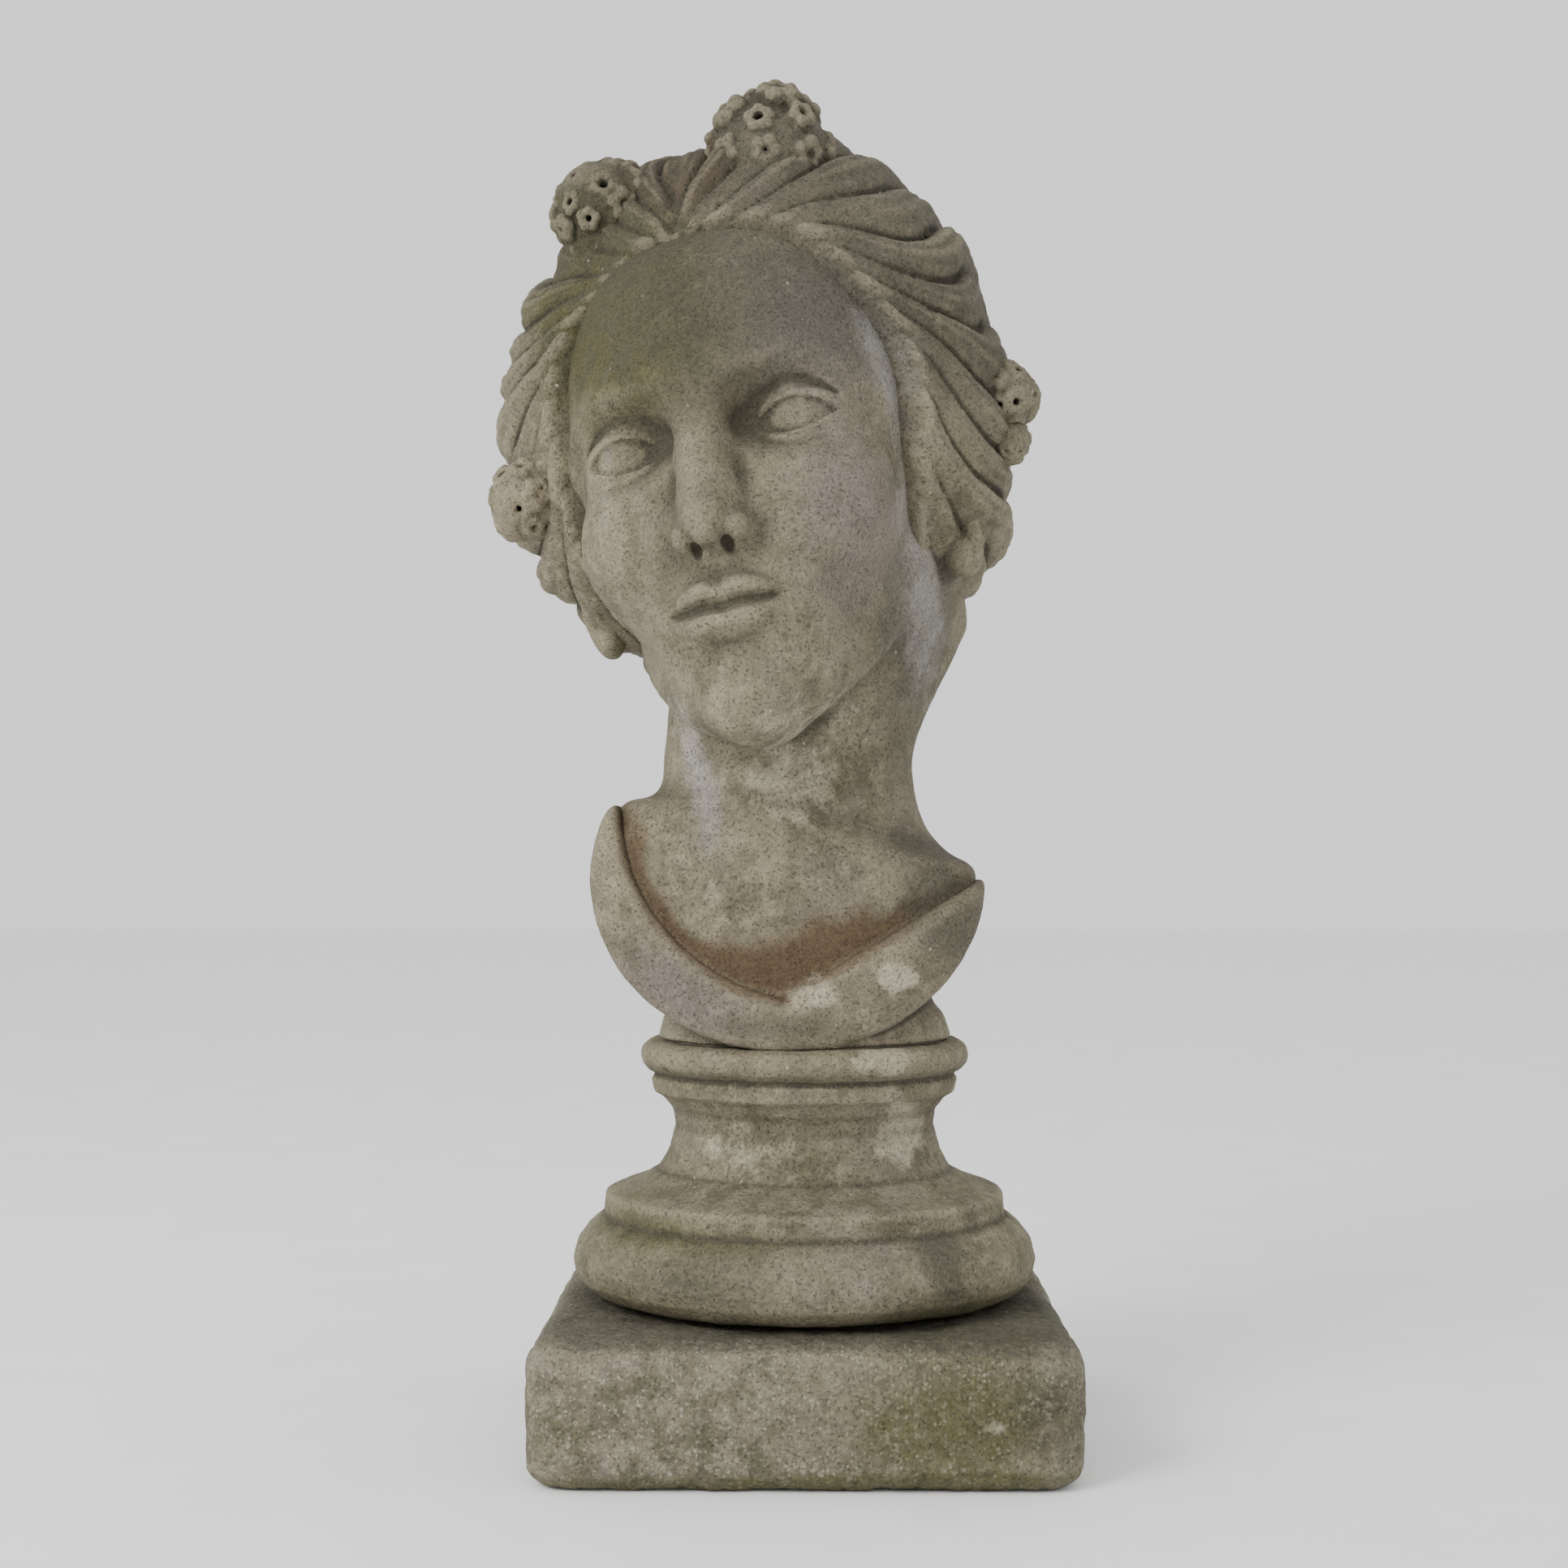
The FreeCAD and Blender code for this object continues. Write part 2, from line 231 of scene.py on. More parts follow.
    def surface(self):
        """Vertices, normals, faces and hollowness at two sizes, all in world millimetres."""
        band = 3 * self.step
        field = np.ascontiguousarray(np.clip(self.field, -band, band), np.float32)
        for k in range(3):
            edge = np.moveaxis(field, k, 0)
            edge[0] = edge[-1] = band
        grid = openvdb.FloatGrid(band)
        grid.copyFromArray(field)
        points, triangles, quads = grid.convertToPolygons(isovalue=0.0, adaptivity=0.0)
        points = np.asarray(points, float)
        slopes = np.gradient(field)
        normal = np.stack([self.sample(s, points) for s in slopes], 1)
        normal /= np.linalg.norm(normal, axis=1, keepdims=True) + 1e-9
        solid = np.clip(0.5 - field / (2 * self.step), 0, 1)
        hollow = []
        for size in (2.2, 7.0):
            reach = max(1, int(round(size / self.step)))
            blurred = blur(blur(solid, reach), reach)
            hollow.append(2 * self.sample(blurred, points) - 1)
        places = points * self.step + self.low
        rotation, origin = self.frame
        return Surface(places @ rotation.T + origin, normal @ rotation.T, triangles, quads, hollow)


def blur(grid, reach):
    """The mean over a box of 2 * reach + 1 cells, taken axis by axis."""
    for k in range(3):
        moved = np.moveaxis(grid, k, 0)
        padded = np.concatenate(
            [np.repeat(moved[:1], reach + 1, 0), moved, np.repeat(moved[-1:], reach, 0)]
        )
        total = np.cumsum(padded, 0, dtype=np.float64)
        moved = (total[2 * reach + 1:] - total[: -2 * reach - 1]) / (2 * reach + 1)
        grid = np.moveaxis(moved.astype(np.float32), 0, k)
    return grid


# ---------------------------------------------------------------- noise on surfaces
LATTICE = RNG.uniform(-1, 1, (32, 32, 32))


def noise(p, size, shift=0.0):
    """Smooth value noise with features about size millimetres across."""
    q = p / size + shift
    i = np.floor(q).astype(int)
    f = q - i
    f = f * f * (3 - 2 * f)
    total = 0
    for corner in range(8):
        o = [(corner >> k) & 1 for k in range(3)]
        weight = 1
        for k in range(3):
            weight = weight * (f[..., k] if o[k] else 1 - f[..., k])
        j = [(i[..., k] + o[k]) % 32 for k in range(3)]
        total = total + weight * LATTICE[j[0], j[1], j[2]]
    return total


def fractal(p, size, octaves=4, shift=0.0):
    total, weight = 0, 1.0
    for n in range(octaves):
        total = total + weight * noise(p, size / 2**n, shift + 7.3 * n)
        weight *= 0.5
    return total


def add_to_scene(name, data):
    obj = bpy.data.objects.new(name, data)
    bpy.context.scene.collection.objects.link(obj)
    return obj


class Surface:
    """Points, normals and faces of one carved piece, on their way to a Blender mesh."""

    def __init__(self, points, normals, triangles, quads, hollow):
        self.points, self.normals = points, normals
        self.triangles, self.quads = triangles, quads
        self.hollow = hollow
        self.paint = {}

    def push(self, amount):
        self.points = self.points + self.normals * np.asarray(amount).reshape(-1, 1)

    def weather(self, amount, pits=0.0, pit_size=3.0):
        """Softens the surface with broad unevenness and sinks scattered pits in it."""
        p = self.points
        self.push(amount * (0.6 * fractal(p, 14, 2) + 0.4 * fractal(p, 5, 3, 3.1)))
        if pits:
            deep = smoothstep(0.45, 0.8, noise(p, pit_size, 5.7))
            self.push(-pits * deep)
        self.points[:, 2] = np.maximum(self.points[:, 2], 0.0)

    def mesh(self, name):
        quads, triangles = np.asarray(self.quads), np.asarray(self.triangles)
        sizes = np.concatenate([np.full(len(quads), 4), np.full(len(triangles), 3)])
        corners = np.concatenate([quads.ravel(), triangles.ravel()]).astype(np.int32)
        mesh = bpy.data.meshes.new(name)
        mesh.vertices.add(len(self.points))
        mesh.vertices.foreach_set("co", (self.points * 0.001).astype(np.float32).ravel())
        mesh.loops.add(len(corners))
        mesh.loops.foreach_set("vertex_index", corners)
        mesh.polygons.add(len(sizes))
        starts = np.concatenate([[0], np.cumsum(sizes)[:-1]]).astype(np.int32)
        mesh.polygons.foreach_set("loop_start", starts)
        mesh.update(calc_edges=True)
        mesh.validate()
        mesh.shade_smooth()
        fine, broad = self.hollow
        self.paint.update(fine_hollow=fine, broad_hollow=broad)
        for key, values in self.paint.items():
            layer = mesh.attributes.new(key, "FLOAT", "POINT")
            layer.data.foreach_set("value", np.asarray(values, np.float32))
        mesh.update()
        return add_to_scene(name, mesh)


# ---------------------------------------------------------------- face and neck
# The head's base form: its half width, front and back at each height over the chin.
FACE_Z = (-3, 2, 8, 16, 28, 42, 60, 80, 100, 120, 140, 160, 180, 196, 208)
FACE_WIDTH = (4, 9.5, 17, 24, 32, 39.5, 47.5, 55, 60, 62.5, 62.5, 60, 53, 38, 18)
FACE_FRONT = (-72, -80, -86, -88, -86.5, -87, -87, -86.5, -85, -87, -87, -82, -70, -50, -26)
FACE_BACK = (-60, -48, -38, -24, -8, 6, 20, 30, 38, 44, 48, 50, 50, 44, 20)


def face_levels(z):
    width = spline(z, FACE_Z, FACE_WIDTH)
    front = spline(z, FACE_Z, FACE_FRONT)
    back = spline(z, FACE_Z, FACE_BACK)
    return width, (front + back) / 2, (back - front) / 2


def on_face(x, z, lift=0.0):
    """A point of the face's base form, lifted forward by lift."""
    width, middle, depth = face_levels(np.array(float(z)))
    y = middle - depth * math.sqrt(max(0.0, 1 - (x / width) ** 2))
    return (x, y - lift, z)


def face_form(x, y, z):
    width, middle, depth = face_levels(z)
    side = ellipsoid_gap((x, y - middle), (width, depth))
    ends = np.maximum(FACE_Z[0] + 1.5 - z, z - FACE_Z[-1])
    return smooth_max(side, ends, 6.0)


# The height of every feature is measured from the chin, as z in the head's own frame.
EYE_X, EYE_Z, EYE_RADIUS = 30.0, 106.5, 16.0
EYE_HALF_WIDTH, UPPER_LID_RISE, LOWER_LID_DROP, LID_THICKNESS = 15.0, 6.4, 5.4, 2.3


def carve_eye(clay, side):
    centre = np.array(on_face(side * EYE_X, EYE_Z, -EYE_RADIUS - 1.5))
    clay.ball(on_face(side * 30, 107.5, 5.5), (19, 13, 11), 10, cut=True)
    clay.ball(on_face(side * 15.5, 110, 5.2), (6.0, 7.6, 8.5), 8, cut=True)

    def eye(x, y, z):
        r = np.sqrt((x - centre[0]) ** 2 + (y - centre[1]) ** 2 + (z - centre[2]) ** 2)
        across = (x - centre[0]) * side / EYE_HALF_WIDTH
        upper = UPPER_LID_RISE * (1 - np.abs(across) ** 2.2) - 1.0 + 0.7 * across
        lower = -LOWER_LID_DROP * (1 - np.abs(across) ** 2.0) - 1.0 + 0.7 * across
        height = z - centre[2]
        open_eye = np.maximum(height - upper, lower - height)
        lids = smooth_max(r - EYE_RADIUS - LID_THICKNESS, -open_eye, 0.9)
        return np.minimum(r - EYE_RADIUS, lids)

    clay.shape(eye, centre - 20, centre + 20, 3.2)
    fold = [
        on_face(side * 17, 111.5, -2.6),
        on_face(side * 24, 116.6, -0.4),
        on_face(side * 33, 118.2, 0.2),
        on_face(side * 40, 116.2, 0.4),
        on_face(side * 45, 112.5, 0.4),
    ]
    clay.tube(fold, (0.8, 1.2, 1.3, 1.0, 0.2), 2.8, cut=True)


def carve_nose(clay):
    clay.ball((0, -78.5, 121), (14, 9.5, 11), 8)
    clay.ball((0, -83, 71), (13, 12, 13), 9)
    bridge = [(0, -79.0, 138), (0, -81.0, 124), (0, -84.0, 108), (0, -89.0, 92),
              (0, -95.0, 77), (0, -98.4, 71.2)]
    clay.tube(bridge, (8.0, 7.0, 5.6, 5.2, 5.8, 6.6), 8)
    clay.ball((0, -87.5, 89), (7.4, 8.0, 25), 8, lean=turn(0, -19))
    for side in (-1, 1):
        clay.ball((side * 8.9, -90.0, 67.4), (4.5, 7.8, 5.2), 3.5)
    clay.tube([(0, -100.6, 65.4), (0, -90, 61.5)], (2.9, 3.4), 3)
    for side in (-1, 1):
        clay.ball((side * 5.4, -93.5, 61.2), (2.3, 4.6, 3.6), 1.4, cut=True)


def carve_mouth(clay):
    clay.ball((0, -73, 43), (28, 18, 21), 12)
    upper = [(0, -90.6, 46.6), (5, -91.4, 47.6), (11, -89.6, 46.8), (16, -86.8, 45.2),
             (20, -84.0, 43.8)]
    lower = [(0, -90.2, 36.2), (6, -89.8, 36.6), (12, -87.8, 38.4), (16.5, -85.6, 40.5),
             (19.5, -83.8, 42.4)]
    parting = [(0, -94.6, 41.6), (6, -94.0, 42.5), (12, -91.6, 42.2), (17, -88.6, 42.8),
               (20, -86.6, 43.6)]
    for side in (-1, 1):
        flip = np.array((side, 1, 1))
        clay.tube(np.array(upper) * flip, (3.9, 4.3, 3.9, 2.9, 1.2), 2.2)
        clay.tube(np.array(lower) * flip, (5.5, 5.3, 4.3, 2.9, 1.0), 2.4)
    for side in (-1, 1):
        flip = np.array((side, 1, 1))
        clay.tube(np.array(parting) * flip, (1.5, 1.5, 1.3, 0.9, 0.2), 2.4, cut=True)
    clay.tube([(0, -96.4, 60), (0, -95.6, 51)], (2.0, 2.4), 3.0, cut=True)
    clay.tube([(-10, -93.4, 27.0), (0, -95.0, 27.5), (10, -93.4, 27.0)], (4, 5, 4), 7, cut=True)


def carve_face(clay):
    clay.shape(face_form, (-72, -95, -6), (72, 60, 215))
    clay.ball((0, -78, 11), (14, 11.5, 11), 12)
    for side in (-1, 1):
        clay.ball((side * 33, -60, 77), (20, 20, 21), 18)
        jaw = [(side * 46, -8, 62), (side * 37, -34, 37), (side * 20, -63, 17)]
        clay.tube(jaw, (8, 7, 5.5), 16)
        brow = [(side * 6, -82.0, 119), on_face(side * 17, 124.5, -4.8),
                on_face(side * 30, 127.5, -5.4), on_face(side * 43, 123.5, -6.2),
                on_face(side * 53, 113, -7.2)]
        clay.tube(brow, (5.0, 4.9, 4.9, 4.8, 4.2), 10)
    for side in (-1, 1):
        carve_eye(clay, side)
    carve_nose(clay)
    carve_mouth(clay)
    for side in (-1, 1):
        carve_ear(clay, side)


def carve_ear(clay, side):
    """The lower half of an ear, which shows under the hair."""
    lean = turn(2, side * 24)
    clay.ball((side * 70, 3, 84), (6.0, 14, 24), 4, lean=lean)
    clay.ball((side * 76, 0, 84), (5, 8, 13), 3, cut=True)
    rim = [(side * 74, 10, 104), (side * 75.5, 15, 92), (side * 73.5, 13, 78), (side * 70, 5, 68)]
    clay.tube(rim, (3.4, 3.2, 3.0, 2.8), 1.6)
    clay.ball((side * 68.5, -2, 65), (5.2, 7.2, 7.8), 3)
    clay.ball((side * 69, -10, 84), (4, 4, 5.5), 3)


# The neck's middle, half width and half depth at each height, in world millimetres.
NECK_Z = (196, 206, 216, 226, 236, 248, 262, 280, 300, 325, 350)
NECK_X = (-3, -3.5, -4.5, -5.5, -6, -6, -3.5, 3, 8.5, 12, 14)
NECK_Y = (0, 0, -1, -1, -2, -2, -1, 3, 8, 12, 14)
NECK_WIDTH = (58, 56, 52, 48.5, 46.5, 46.0, 46.5, 47.5, 49.5, 51, 50)
NECK_DEPTH = (48, 47, 46, 45.5, 46, 47, 49, 52, 55, 57, 56)
NECK_BOTTOM, NECK_TOP = 180, 348


def in_world(form, clay):
    """Wraps a form of world coordinates for use in a clay with a turned frame."""
    rotation, origin = clay.frame

    def wrapped(x, y, z):
        p = [origin[i] + rotation[i, 0] * x + rotation[i, 1] * y + rotation[i, 2] * z
             for i in range(3)]
        return form(*p)

    return wrapped


def neck_form(x, y, z):
    cx, cy, width, depth = (
        spline(z, NECK_Z, values) for values in (NECK_X, NECK_Y, NECK_WIDTH, NECK_DEPTH)
    )
    side = ellipsoid_gap((x - cx, y - cy), (width, depth))
    return smooth_max(side, np.maximum(NECK_BOTTOM - z, z - NECK_TOP), 4)


# The chest, its outline from the front, its tips and the neckline, in world millimetres.
CHEST_CENTRE, CHEST_RADII = (-6.0, 0.0, 187.0), (90.0, 61.0, 82.0)
CHEST_LOWER_REACH = 122.0
OUTLINE_CENTRE, OUTLINE_RADII = (-6.0, 203.0), (71.0, 61.5)
TIP_LEFT, TIP_RIGHT = (-67.0, 233.0), (67.0, 207.0)
SEAT_POINT, SEAT_RIGHT = (-8.0, 161.0), (72.0, 207.0)
SEAT_ARC_CENTRE, SEAT_ARC_RADIUS = (6.2, 231.9), 72.3
SEAT_OVERLAP = 2.5  # how far the skin reaches under the dress
SKIN_INSET, SKIN_SIDE_INSET = 6.5, 2.5


def chest_form(x, y, z, inset, side_inset, soft):
    """The chest: an egg cut off by an oval outline seen from the front."""
    width, depth, height = (r - inset for r in CHEST_RADII)
    p = [x - CHEST_CENTRE[0], y - CHEST_CENTRE[1], z - CHEST_CENTRE[2]]
    reach = np.where(p[2] < 0, CHEST_LOWER_REACH, height)
    egg = ellipsoid_gap(p, (width, depth, reach))
    outline = ellipsoid_gap(
        (x - OUTLINE_CENTRE[0], z - OUTLINE_CENTRE[1]), [r - side_inset for r in OUTLINE_RADII]
    )
    return smooth_max(egg, outline, soft)


def over_tips(x, z):
    """Height over the line between the shoulder tips."""
    run, rise = TIP_RIGHT[0] - TIP_LEFT[0], TIP_RIGHT[1] - TIP_LEFT[1]
    length = math.hypot(run, rise)
    return ((z - TIP_LEFT[1]) * run - (x - TIP_LEFT[0]) * rise) / length


def seat_form(x, z):
    """Distance from the V-shaped neckline, seen from the front: negative inside it."""
    circle = np.sqrt((x - SEAT_ARC_CENTRE[0]) ** 2 + (z - SEAT_ARC_CENTRE[1]) ** 2)
    run, rise = SEAT_RIGHT[0] - SEAT_POINT[0], SEAT_RIGHT[1] - SEAT_POINT[1]
    length = math.hypot(run, rise)
    line = -((z - SEAT_POINT[1]) * run - (x - SEAT_POINT[0]) * rise) / length
    return np.maximum(circle - SEAT_ARC_RADIUS, line)


def skin_form(x, y, z):
    """The skin inside the neckline, set back from the dress."""
    skin = chest_form(x, y, z, SKIN_INSET, SKIN_SIDE_INSET, 9.0)
    skin = smooth_max(skin, over_tips(x, z) + 1.0, 5)
    return smooth_max(skin, seat_form(x, z) - SEAT_OVERLAP, 1.0)


def seat_room(x, y, z):
    """The space that the head's stone may fill: inside the seat, or over the shoulder tips."""
    return np.minimum(seat_form(x, z) - SEAT_OVERLAP, 4.0 - over_tips(x, z))


THROAT_CORDS = (((52, 20, 298), (0, -38, 214)), ((-44, 2, 288), (-12, -38, 214)))


def build_face(step=1.1):
    """The face, ears, neck and the skin inside the neckline, in one piece."""
    clay = Clay((-92, -114, -84), (88, 86, 214), step, HEAD)
    carve_face(clay)
    x, y, z = clay.coordinates()
    neck = in_world(neck_form, clay)(x, y, z)
    clay.field[...] = smooth_min(clay.field, neck, 13)
    rotation, origin = clay.frame
    for ends in THROAT_CORDS:
        a, b = (rotation.T @ (np.array(end, float) - origin) for end in ends)
        clay.tube([a, (a + b) / 2 + np.array((0, -2.0, 0)), b], (9, 9, 6), 12)
    skin = in_world(skin_form, clay)(x, y, z)
    clay.field[...] = smooth_min(clay.field, skin, 12)
    seat = in_world(seat_room, clay)(x, y, z)
    clay.field[...] = smooth_max(clay.field, seat, 1.0)
    return clay


# ---------------------------------------------------------------- hair
HAIR_CENTRE = np.array((-1.0, 15.0, 132.0))
HAIR_HALF_WIDTH, HAIR_UP, HAIR_DOWN, HAIR_BACK, HAIR_FRONT = 86.0, 101.0, 88.0, 84.0, 98.0
HAIR_SQUARENESS = 2.35
HAIR_POLE_LEAN = 10.0
# The hairline, in degrees from the middle of the face, at each turn from the parting.
HAIRLINE_TURN = (0, 46, 77, 95, 113, 124, 135, 150, 180)
HAIRLINE_FROM_POLE = (21, 27, 34, 40, 46, 53, 65, 90, 122)
WAVE_SPACING = 11.5
KNOT_CENTRE, KNOT_RADII = np.array((0.0, 97.0, 117.0)), (31, 27, 28)


def hair_angles(x, y, z):
    """Angle round the face from the parting, and angle back from the middle of the face."""
    s, c = math.sin(math.radians(HAIR_POLE_LEAN)), math.cos(math.radians(HAIR_POLE_LEAN))
    dx, dy, dz = x - HAIR_CENTRE[0], y - HAIR_CENTRE[1], z - HAIR_CENTRE[2]
    forward = -dy * c + dz * s
    up = dy * s + dz * c
    around = np.degrees(np.arctan2(np.abs(dx), up))
    back = np.degrees(np.arctan2(np.sqrt(dx**2 + up**2), forward))
    return around, back, np.sqrt(dx**2 + dy**2 + dz**2)


def hair_form(x, y, z):
    """Waved hair, parted in the middle and swept back from the hairline in rolled locks."""
    around, back, r = hair_angles(x, y, z)
    dx, dy, dz = x - HAIR_CENTRE[0], y - HAIR_CENTRE[1], z - HAIR_CENTRE[2]
    height = np.where(dz > 0, HAIR_UP, HAIR_DOWN)
    depth = np.where(dy > 0, HAIR_BACK, HAIR_FRONT)
    full = sum(
        np.abs(p / size) ** HAIR_SQUARENESS
        for p, size in ((dx, HAIR_HALF_WIDTH), (dy, depth), (dz, height))
    )
    base = r / full ** (1 / HAIR_SQUARENESS)
    base = base - 7.0 * bell(around, 45, 20) * (dx < 0)
    hairline = spline(around, HAIRLINE_TURN, HAIRLINE_FROM_POLE)
    swept_back = 5.0 * np.sin(np.radians(around)) + 8.0 * bell(around, 108, 20)
    hairline = hairline + swept_back * (dx > 0)
    v = back - hairline
    side = np.where(dx > 0, 0.0, 0.37)
    # Each wave leaves the hairline along it, turns outward, then lifts towards the crown.
    sweep = -17 * np.exp(-np.maximum(v, 0) / 11.0) - 12 * smoothstep(12, 50, v)
    sweep = sweep + 4 * np.sin((v - 80) / 14.0) * smoothstep(70, 100, v)
    wobble = 0.28 * np.sin(around / 9.0 + 3 * side) * np.sin(back / 11.0)
    phase = (around - sweep) / WAVE_SPACING + side + wobble
    index = np.floor(phase)
    f = phase - index
    crest = np.sin(np.pi * f**0.8) ** 0.6
    uneven = 1 + 0.25 * np.sin(index * 2.4 + 5 * side)
    fade = smoothstep(180, 150, back)
    strand = np.abs(np.sin(np.pi * (f * 3.0 + 0.15 * np.sin(v / 6.0)))) ** 0.6 - 1
    relief = (2.0 + 5.5 * smoothstep(2, 34, v)) * crest * uneven * fade
    relief = relief + (0.7 + 0.8 * smoothstep(0, 25, v)) * strand * fade
    ring = 3.5 * bell(back, 76, 20) * smoothstep(140, 120, around)
    parting = 3.4 * bell(dx, 0, 4) * smoothstep(150, 90, back)
    edge = 5.0 * (1 - smoothstep(-2, 22, v)) + 16 * (1 - smoothstep(-7, 0.5, v))
    mass = (r - (base + relief + ring - parting - edge)) * 0.92
    # Near the hairline the locks lie on the skin as a raised band with a wavy edge.
    inside = -1.5 * (v + 0.7 * (crest - 0.7))
    thick = 0.8 + 5.0 * smoothstep(-1, 20, v) + (0.2 + 3.6 * smoothstep(2, 20, v)) * crest
    band = face_form(x, y, z) - thick - 0.8 * strand
    band = smooth_max(band, inside, 5.0)
    return smooth_min(mass, np.where(v < 60, band, 40.0), 4.0)


def knot_form(x, y, z):
    """A coiled knot of hair at the back of the head."""
    p = [x - KNOT_CENTRE[0], y - KNOT_CENTRE[1], z - KNOT_CENTRE[2]]
    r = np.sqrt(sum((offset / radius) ** 2 for offset, radius in zip(p, KNOT_RADII)))
    turned = np.arctan2(p[0], p[2]) / (2 * np.pi)
    far = np.sqrt(p[0] ** 2 + p[2] ** 2)
    coil = np.abs(np.sin(np.pi * (2 * turned + far / 9.5))) ** 0.6
    strands = np.abs(np.sin(np.pi * (6 * turned + far / 3.2)))
    return (r - 1) * 26 + 3.6 * (1 - coil) + 0.7 * (1 - strands) - 1.5


def build_hair(step=1.15):
    clay = Clay((-110, -96, 28), (106, 122, 246), step, HEAD)
    clay.field[...] = hair_form(*clay.coordinates())
    clay.shape(knot_form, KNOT_CENTRE - 32, KNOT_CENTRE + 32, 1.5)
    return clay


HEAD_MIDDLE = HEAD_TURN @ np.array((0.0, 15.0, 130.0)) + HEAD_ORIGIN
# Each clump's name, centre in world millimetres, radius, flower count, twist and rise.
CLUSTERS = (
    ("flowers_left", (-103, -26, 339), 14.5, 5, 0.3, 0.75),
    ("flowers_right", (75, -24, 377), 12.0, 5, 0.9, 0.80),
    ("flowers_right_low", (76, -22, 362), 8.5, 4, 0.4, 0.70),
    ("flowers_top", (-12, -30, 463), 22.5, 6, 0.1, 1.14),
    ("flowers_side", (-73, -28, 445), 19.0, 6, 0.6, 0.80),
)


PETALS = 5


def unit(vector):
    return vector / np.linalg.norm(vector)


def rosette(clay, centre, facing, size, twist):
    """A small open flower: rounded petals round a drilled hole."""
    across = unit(np.cross(facing, (0.2, 0.1, 1.0)))
    up = np.cross(facing, across)
    for petal in range(PETALS):
        angle = 2 * math.pi * (petal + twist) / PETALS
        spoke = across * math.cos(angle) + up * math.sin(angle)
        clay.ball(centre + (spoke * 0.85 - facing * 0.25) * size, size * 0.68, 1.3)
    hole = [centre + facing * size, centre - facing * size * 1.3]
    clay.tube(hole, (0.34 * size, 0.24 * size), 0.8, cut=True, steps=1)


def build_cluster(centre, radius, count, twist, rise, step=0.8):
    """A clump of flowers: small rosettes in rings over a mound that faces away from the head."""
    centre = np.array(centre, float)
    out = unit(unit(centre - HEAD_MIDDLE) + np.array((0, -0.25, 0)))
    across = unit(np.cross(out, (0, -1, 0)))
    up = np.cross(out, across)
    lean = np.stack([across, up, out], 1)
    margin = radius * (1.4 + rise)
    clay = Clay(centre - margin, centre + margin, step)
    clay.ball(centre - out * radius * 0.6, radius * 1.08)
    clay.ball(centre, (radius * 0.95, radius * 0.95, radius * rise * 0.95), 4, lean=lean.T)
    # Each ring's tilt away from the mound's axis in degrees, and its number of flowers.
    rings = ((8, 1), (44, count - 1), (78, count + 2), (112, count + 1))
    for ring, (tilt, number) in enumerate(rings):
        for i in range(number):
            angle = 2 * math.pi * (i + twist + 0.4 * ring) / number
            wobble = 1 + 0.13 * math.sin(5 * i + 9 * twist + 2 * ring)
            lean_out = math.radians(tilt * wobble)
            spoke = across * math.cos(angle) + up * math.sin(angle)
            facing = spoke * math.sin(lean_out) + out * math.cos(lean_out)
            from_centre = spoke * math.sin(lean_out) + out * math.cos(lean_out) * rise
            size = radius * 0.215 * wobble**2
            rosette(clay, centre + from_centre * radius * 0.96, facing, size, twist + 0.3 * i)
    return clay


# ---------------------------------------------------------------- shoulders
# The turned foot: a radius at each height.
FOOT = ((143, 54.2), (146.5, 53.4), (151.4, 51.9), (156.9, 47.6), (162, 46.4), (170, 46.4))
FOOT_BOTTOM, FOOT_TOP = 143.1, 172
NECKLINE_GAP = 0.3


def build_shoulders(step=1.0):
    """The dress: a chest with a V-shaped neckline, on a turned foot."""
    clay = Clay((-84, -64, 141), (74, 64, 240), step)
    x, y, z = clay.coordinates()
    body = chest_form(x, y, z, 0.0, 0.0, 4.5)
    body = smooth_max(body, over_tips(x, z) - 1.8 + 0.022 * x, 3)
    heights, radii = zip(*FOOT)
    foot = np.sqrt(x * x + y * y) - spline(z, heights, radii)
    foot = smooth_max(foot * 0.85, np.maximum(FOOT_BOTTOM - z, z - FOOT_TOP), 0.8)
    body = smooth_min(body, foot, 1.5)
    # The dress's edge is well rounded, and sharper towards the right-hand tip.
    rounding = 8.0 - 5.0 * smoothstep(35, 64, x)
    clay.field[...] = smooth_max(body, NECKLINE_GAP - seat_form(x, z), rounding)
    return clay


# ---------------------------------------------------------------- socle and plinth
# The turned socle: heights, each with a radius.
SOCLE_OUTLINE = (
    (51.0, 76.0), (53.0, 79.6), (57.0, 83.6), (63.2, 85.0), (69.5, 83.4), (74.5, 79.6),
    (77.5, 76.4), (78.6, 74.2), (80.0, 73.8), (85.8, 73.3), (87.2, 72.6), (88.3, 70.0),
    (91.6, 60.5), (95.2, 54.0), (102.0, 50.2), (111.5, 47.4), (117.3, 48.4), (122.2, 52.4),
    (124.0, 55.6), (128.6, 56.6), (129.6, 55.4), (130.6, 55.2), (131.8, 57.6), (134.0, 60.0),
    (137.0, 60.8), (140.4, 59.9), (142.5, 57.4),
)
SOCLE_BOTTOM, SOCLE_TOP = 51, 142.5
# Chipped edges of the socle: height, radius and number of chips.
SOCLE_CHIPS = ((78.4, 76.8, 5), (131.5, 59.0, 3), (126, 57.8, 3))


def chip_edge(clay, height, radius, count):
    """Knocks small chips out of a round edge, spread unevenly round it."""
    for turned in np.linspace(0, 1, count, endpoint=False):
        size = RNG.uniform(1.0, 2.6)
        angle = 2 * math.pi * (turned + RNG.uniform(-0.4, 0.4) / count)
        edge = np.array((radius * math.cos(angle), radius * math.sin(angle), height))
        centre = edge + RNG.uniform(-1, 1, 3)
        clay.ball(centre, (size * RNG.uniform(1, 2), size, size), 1.5, cut=True)


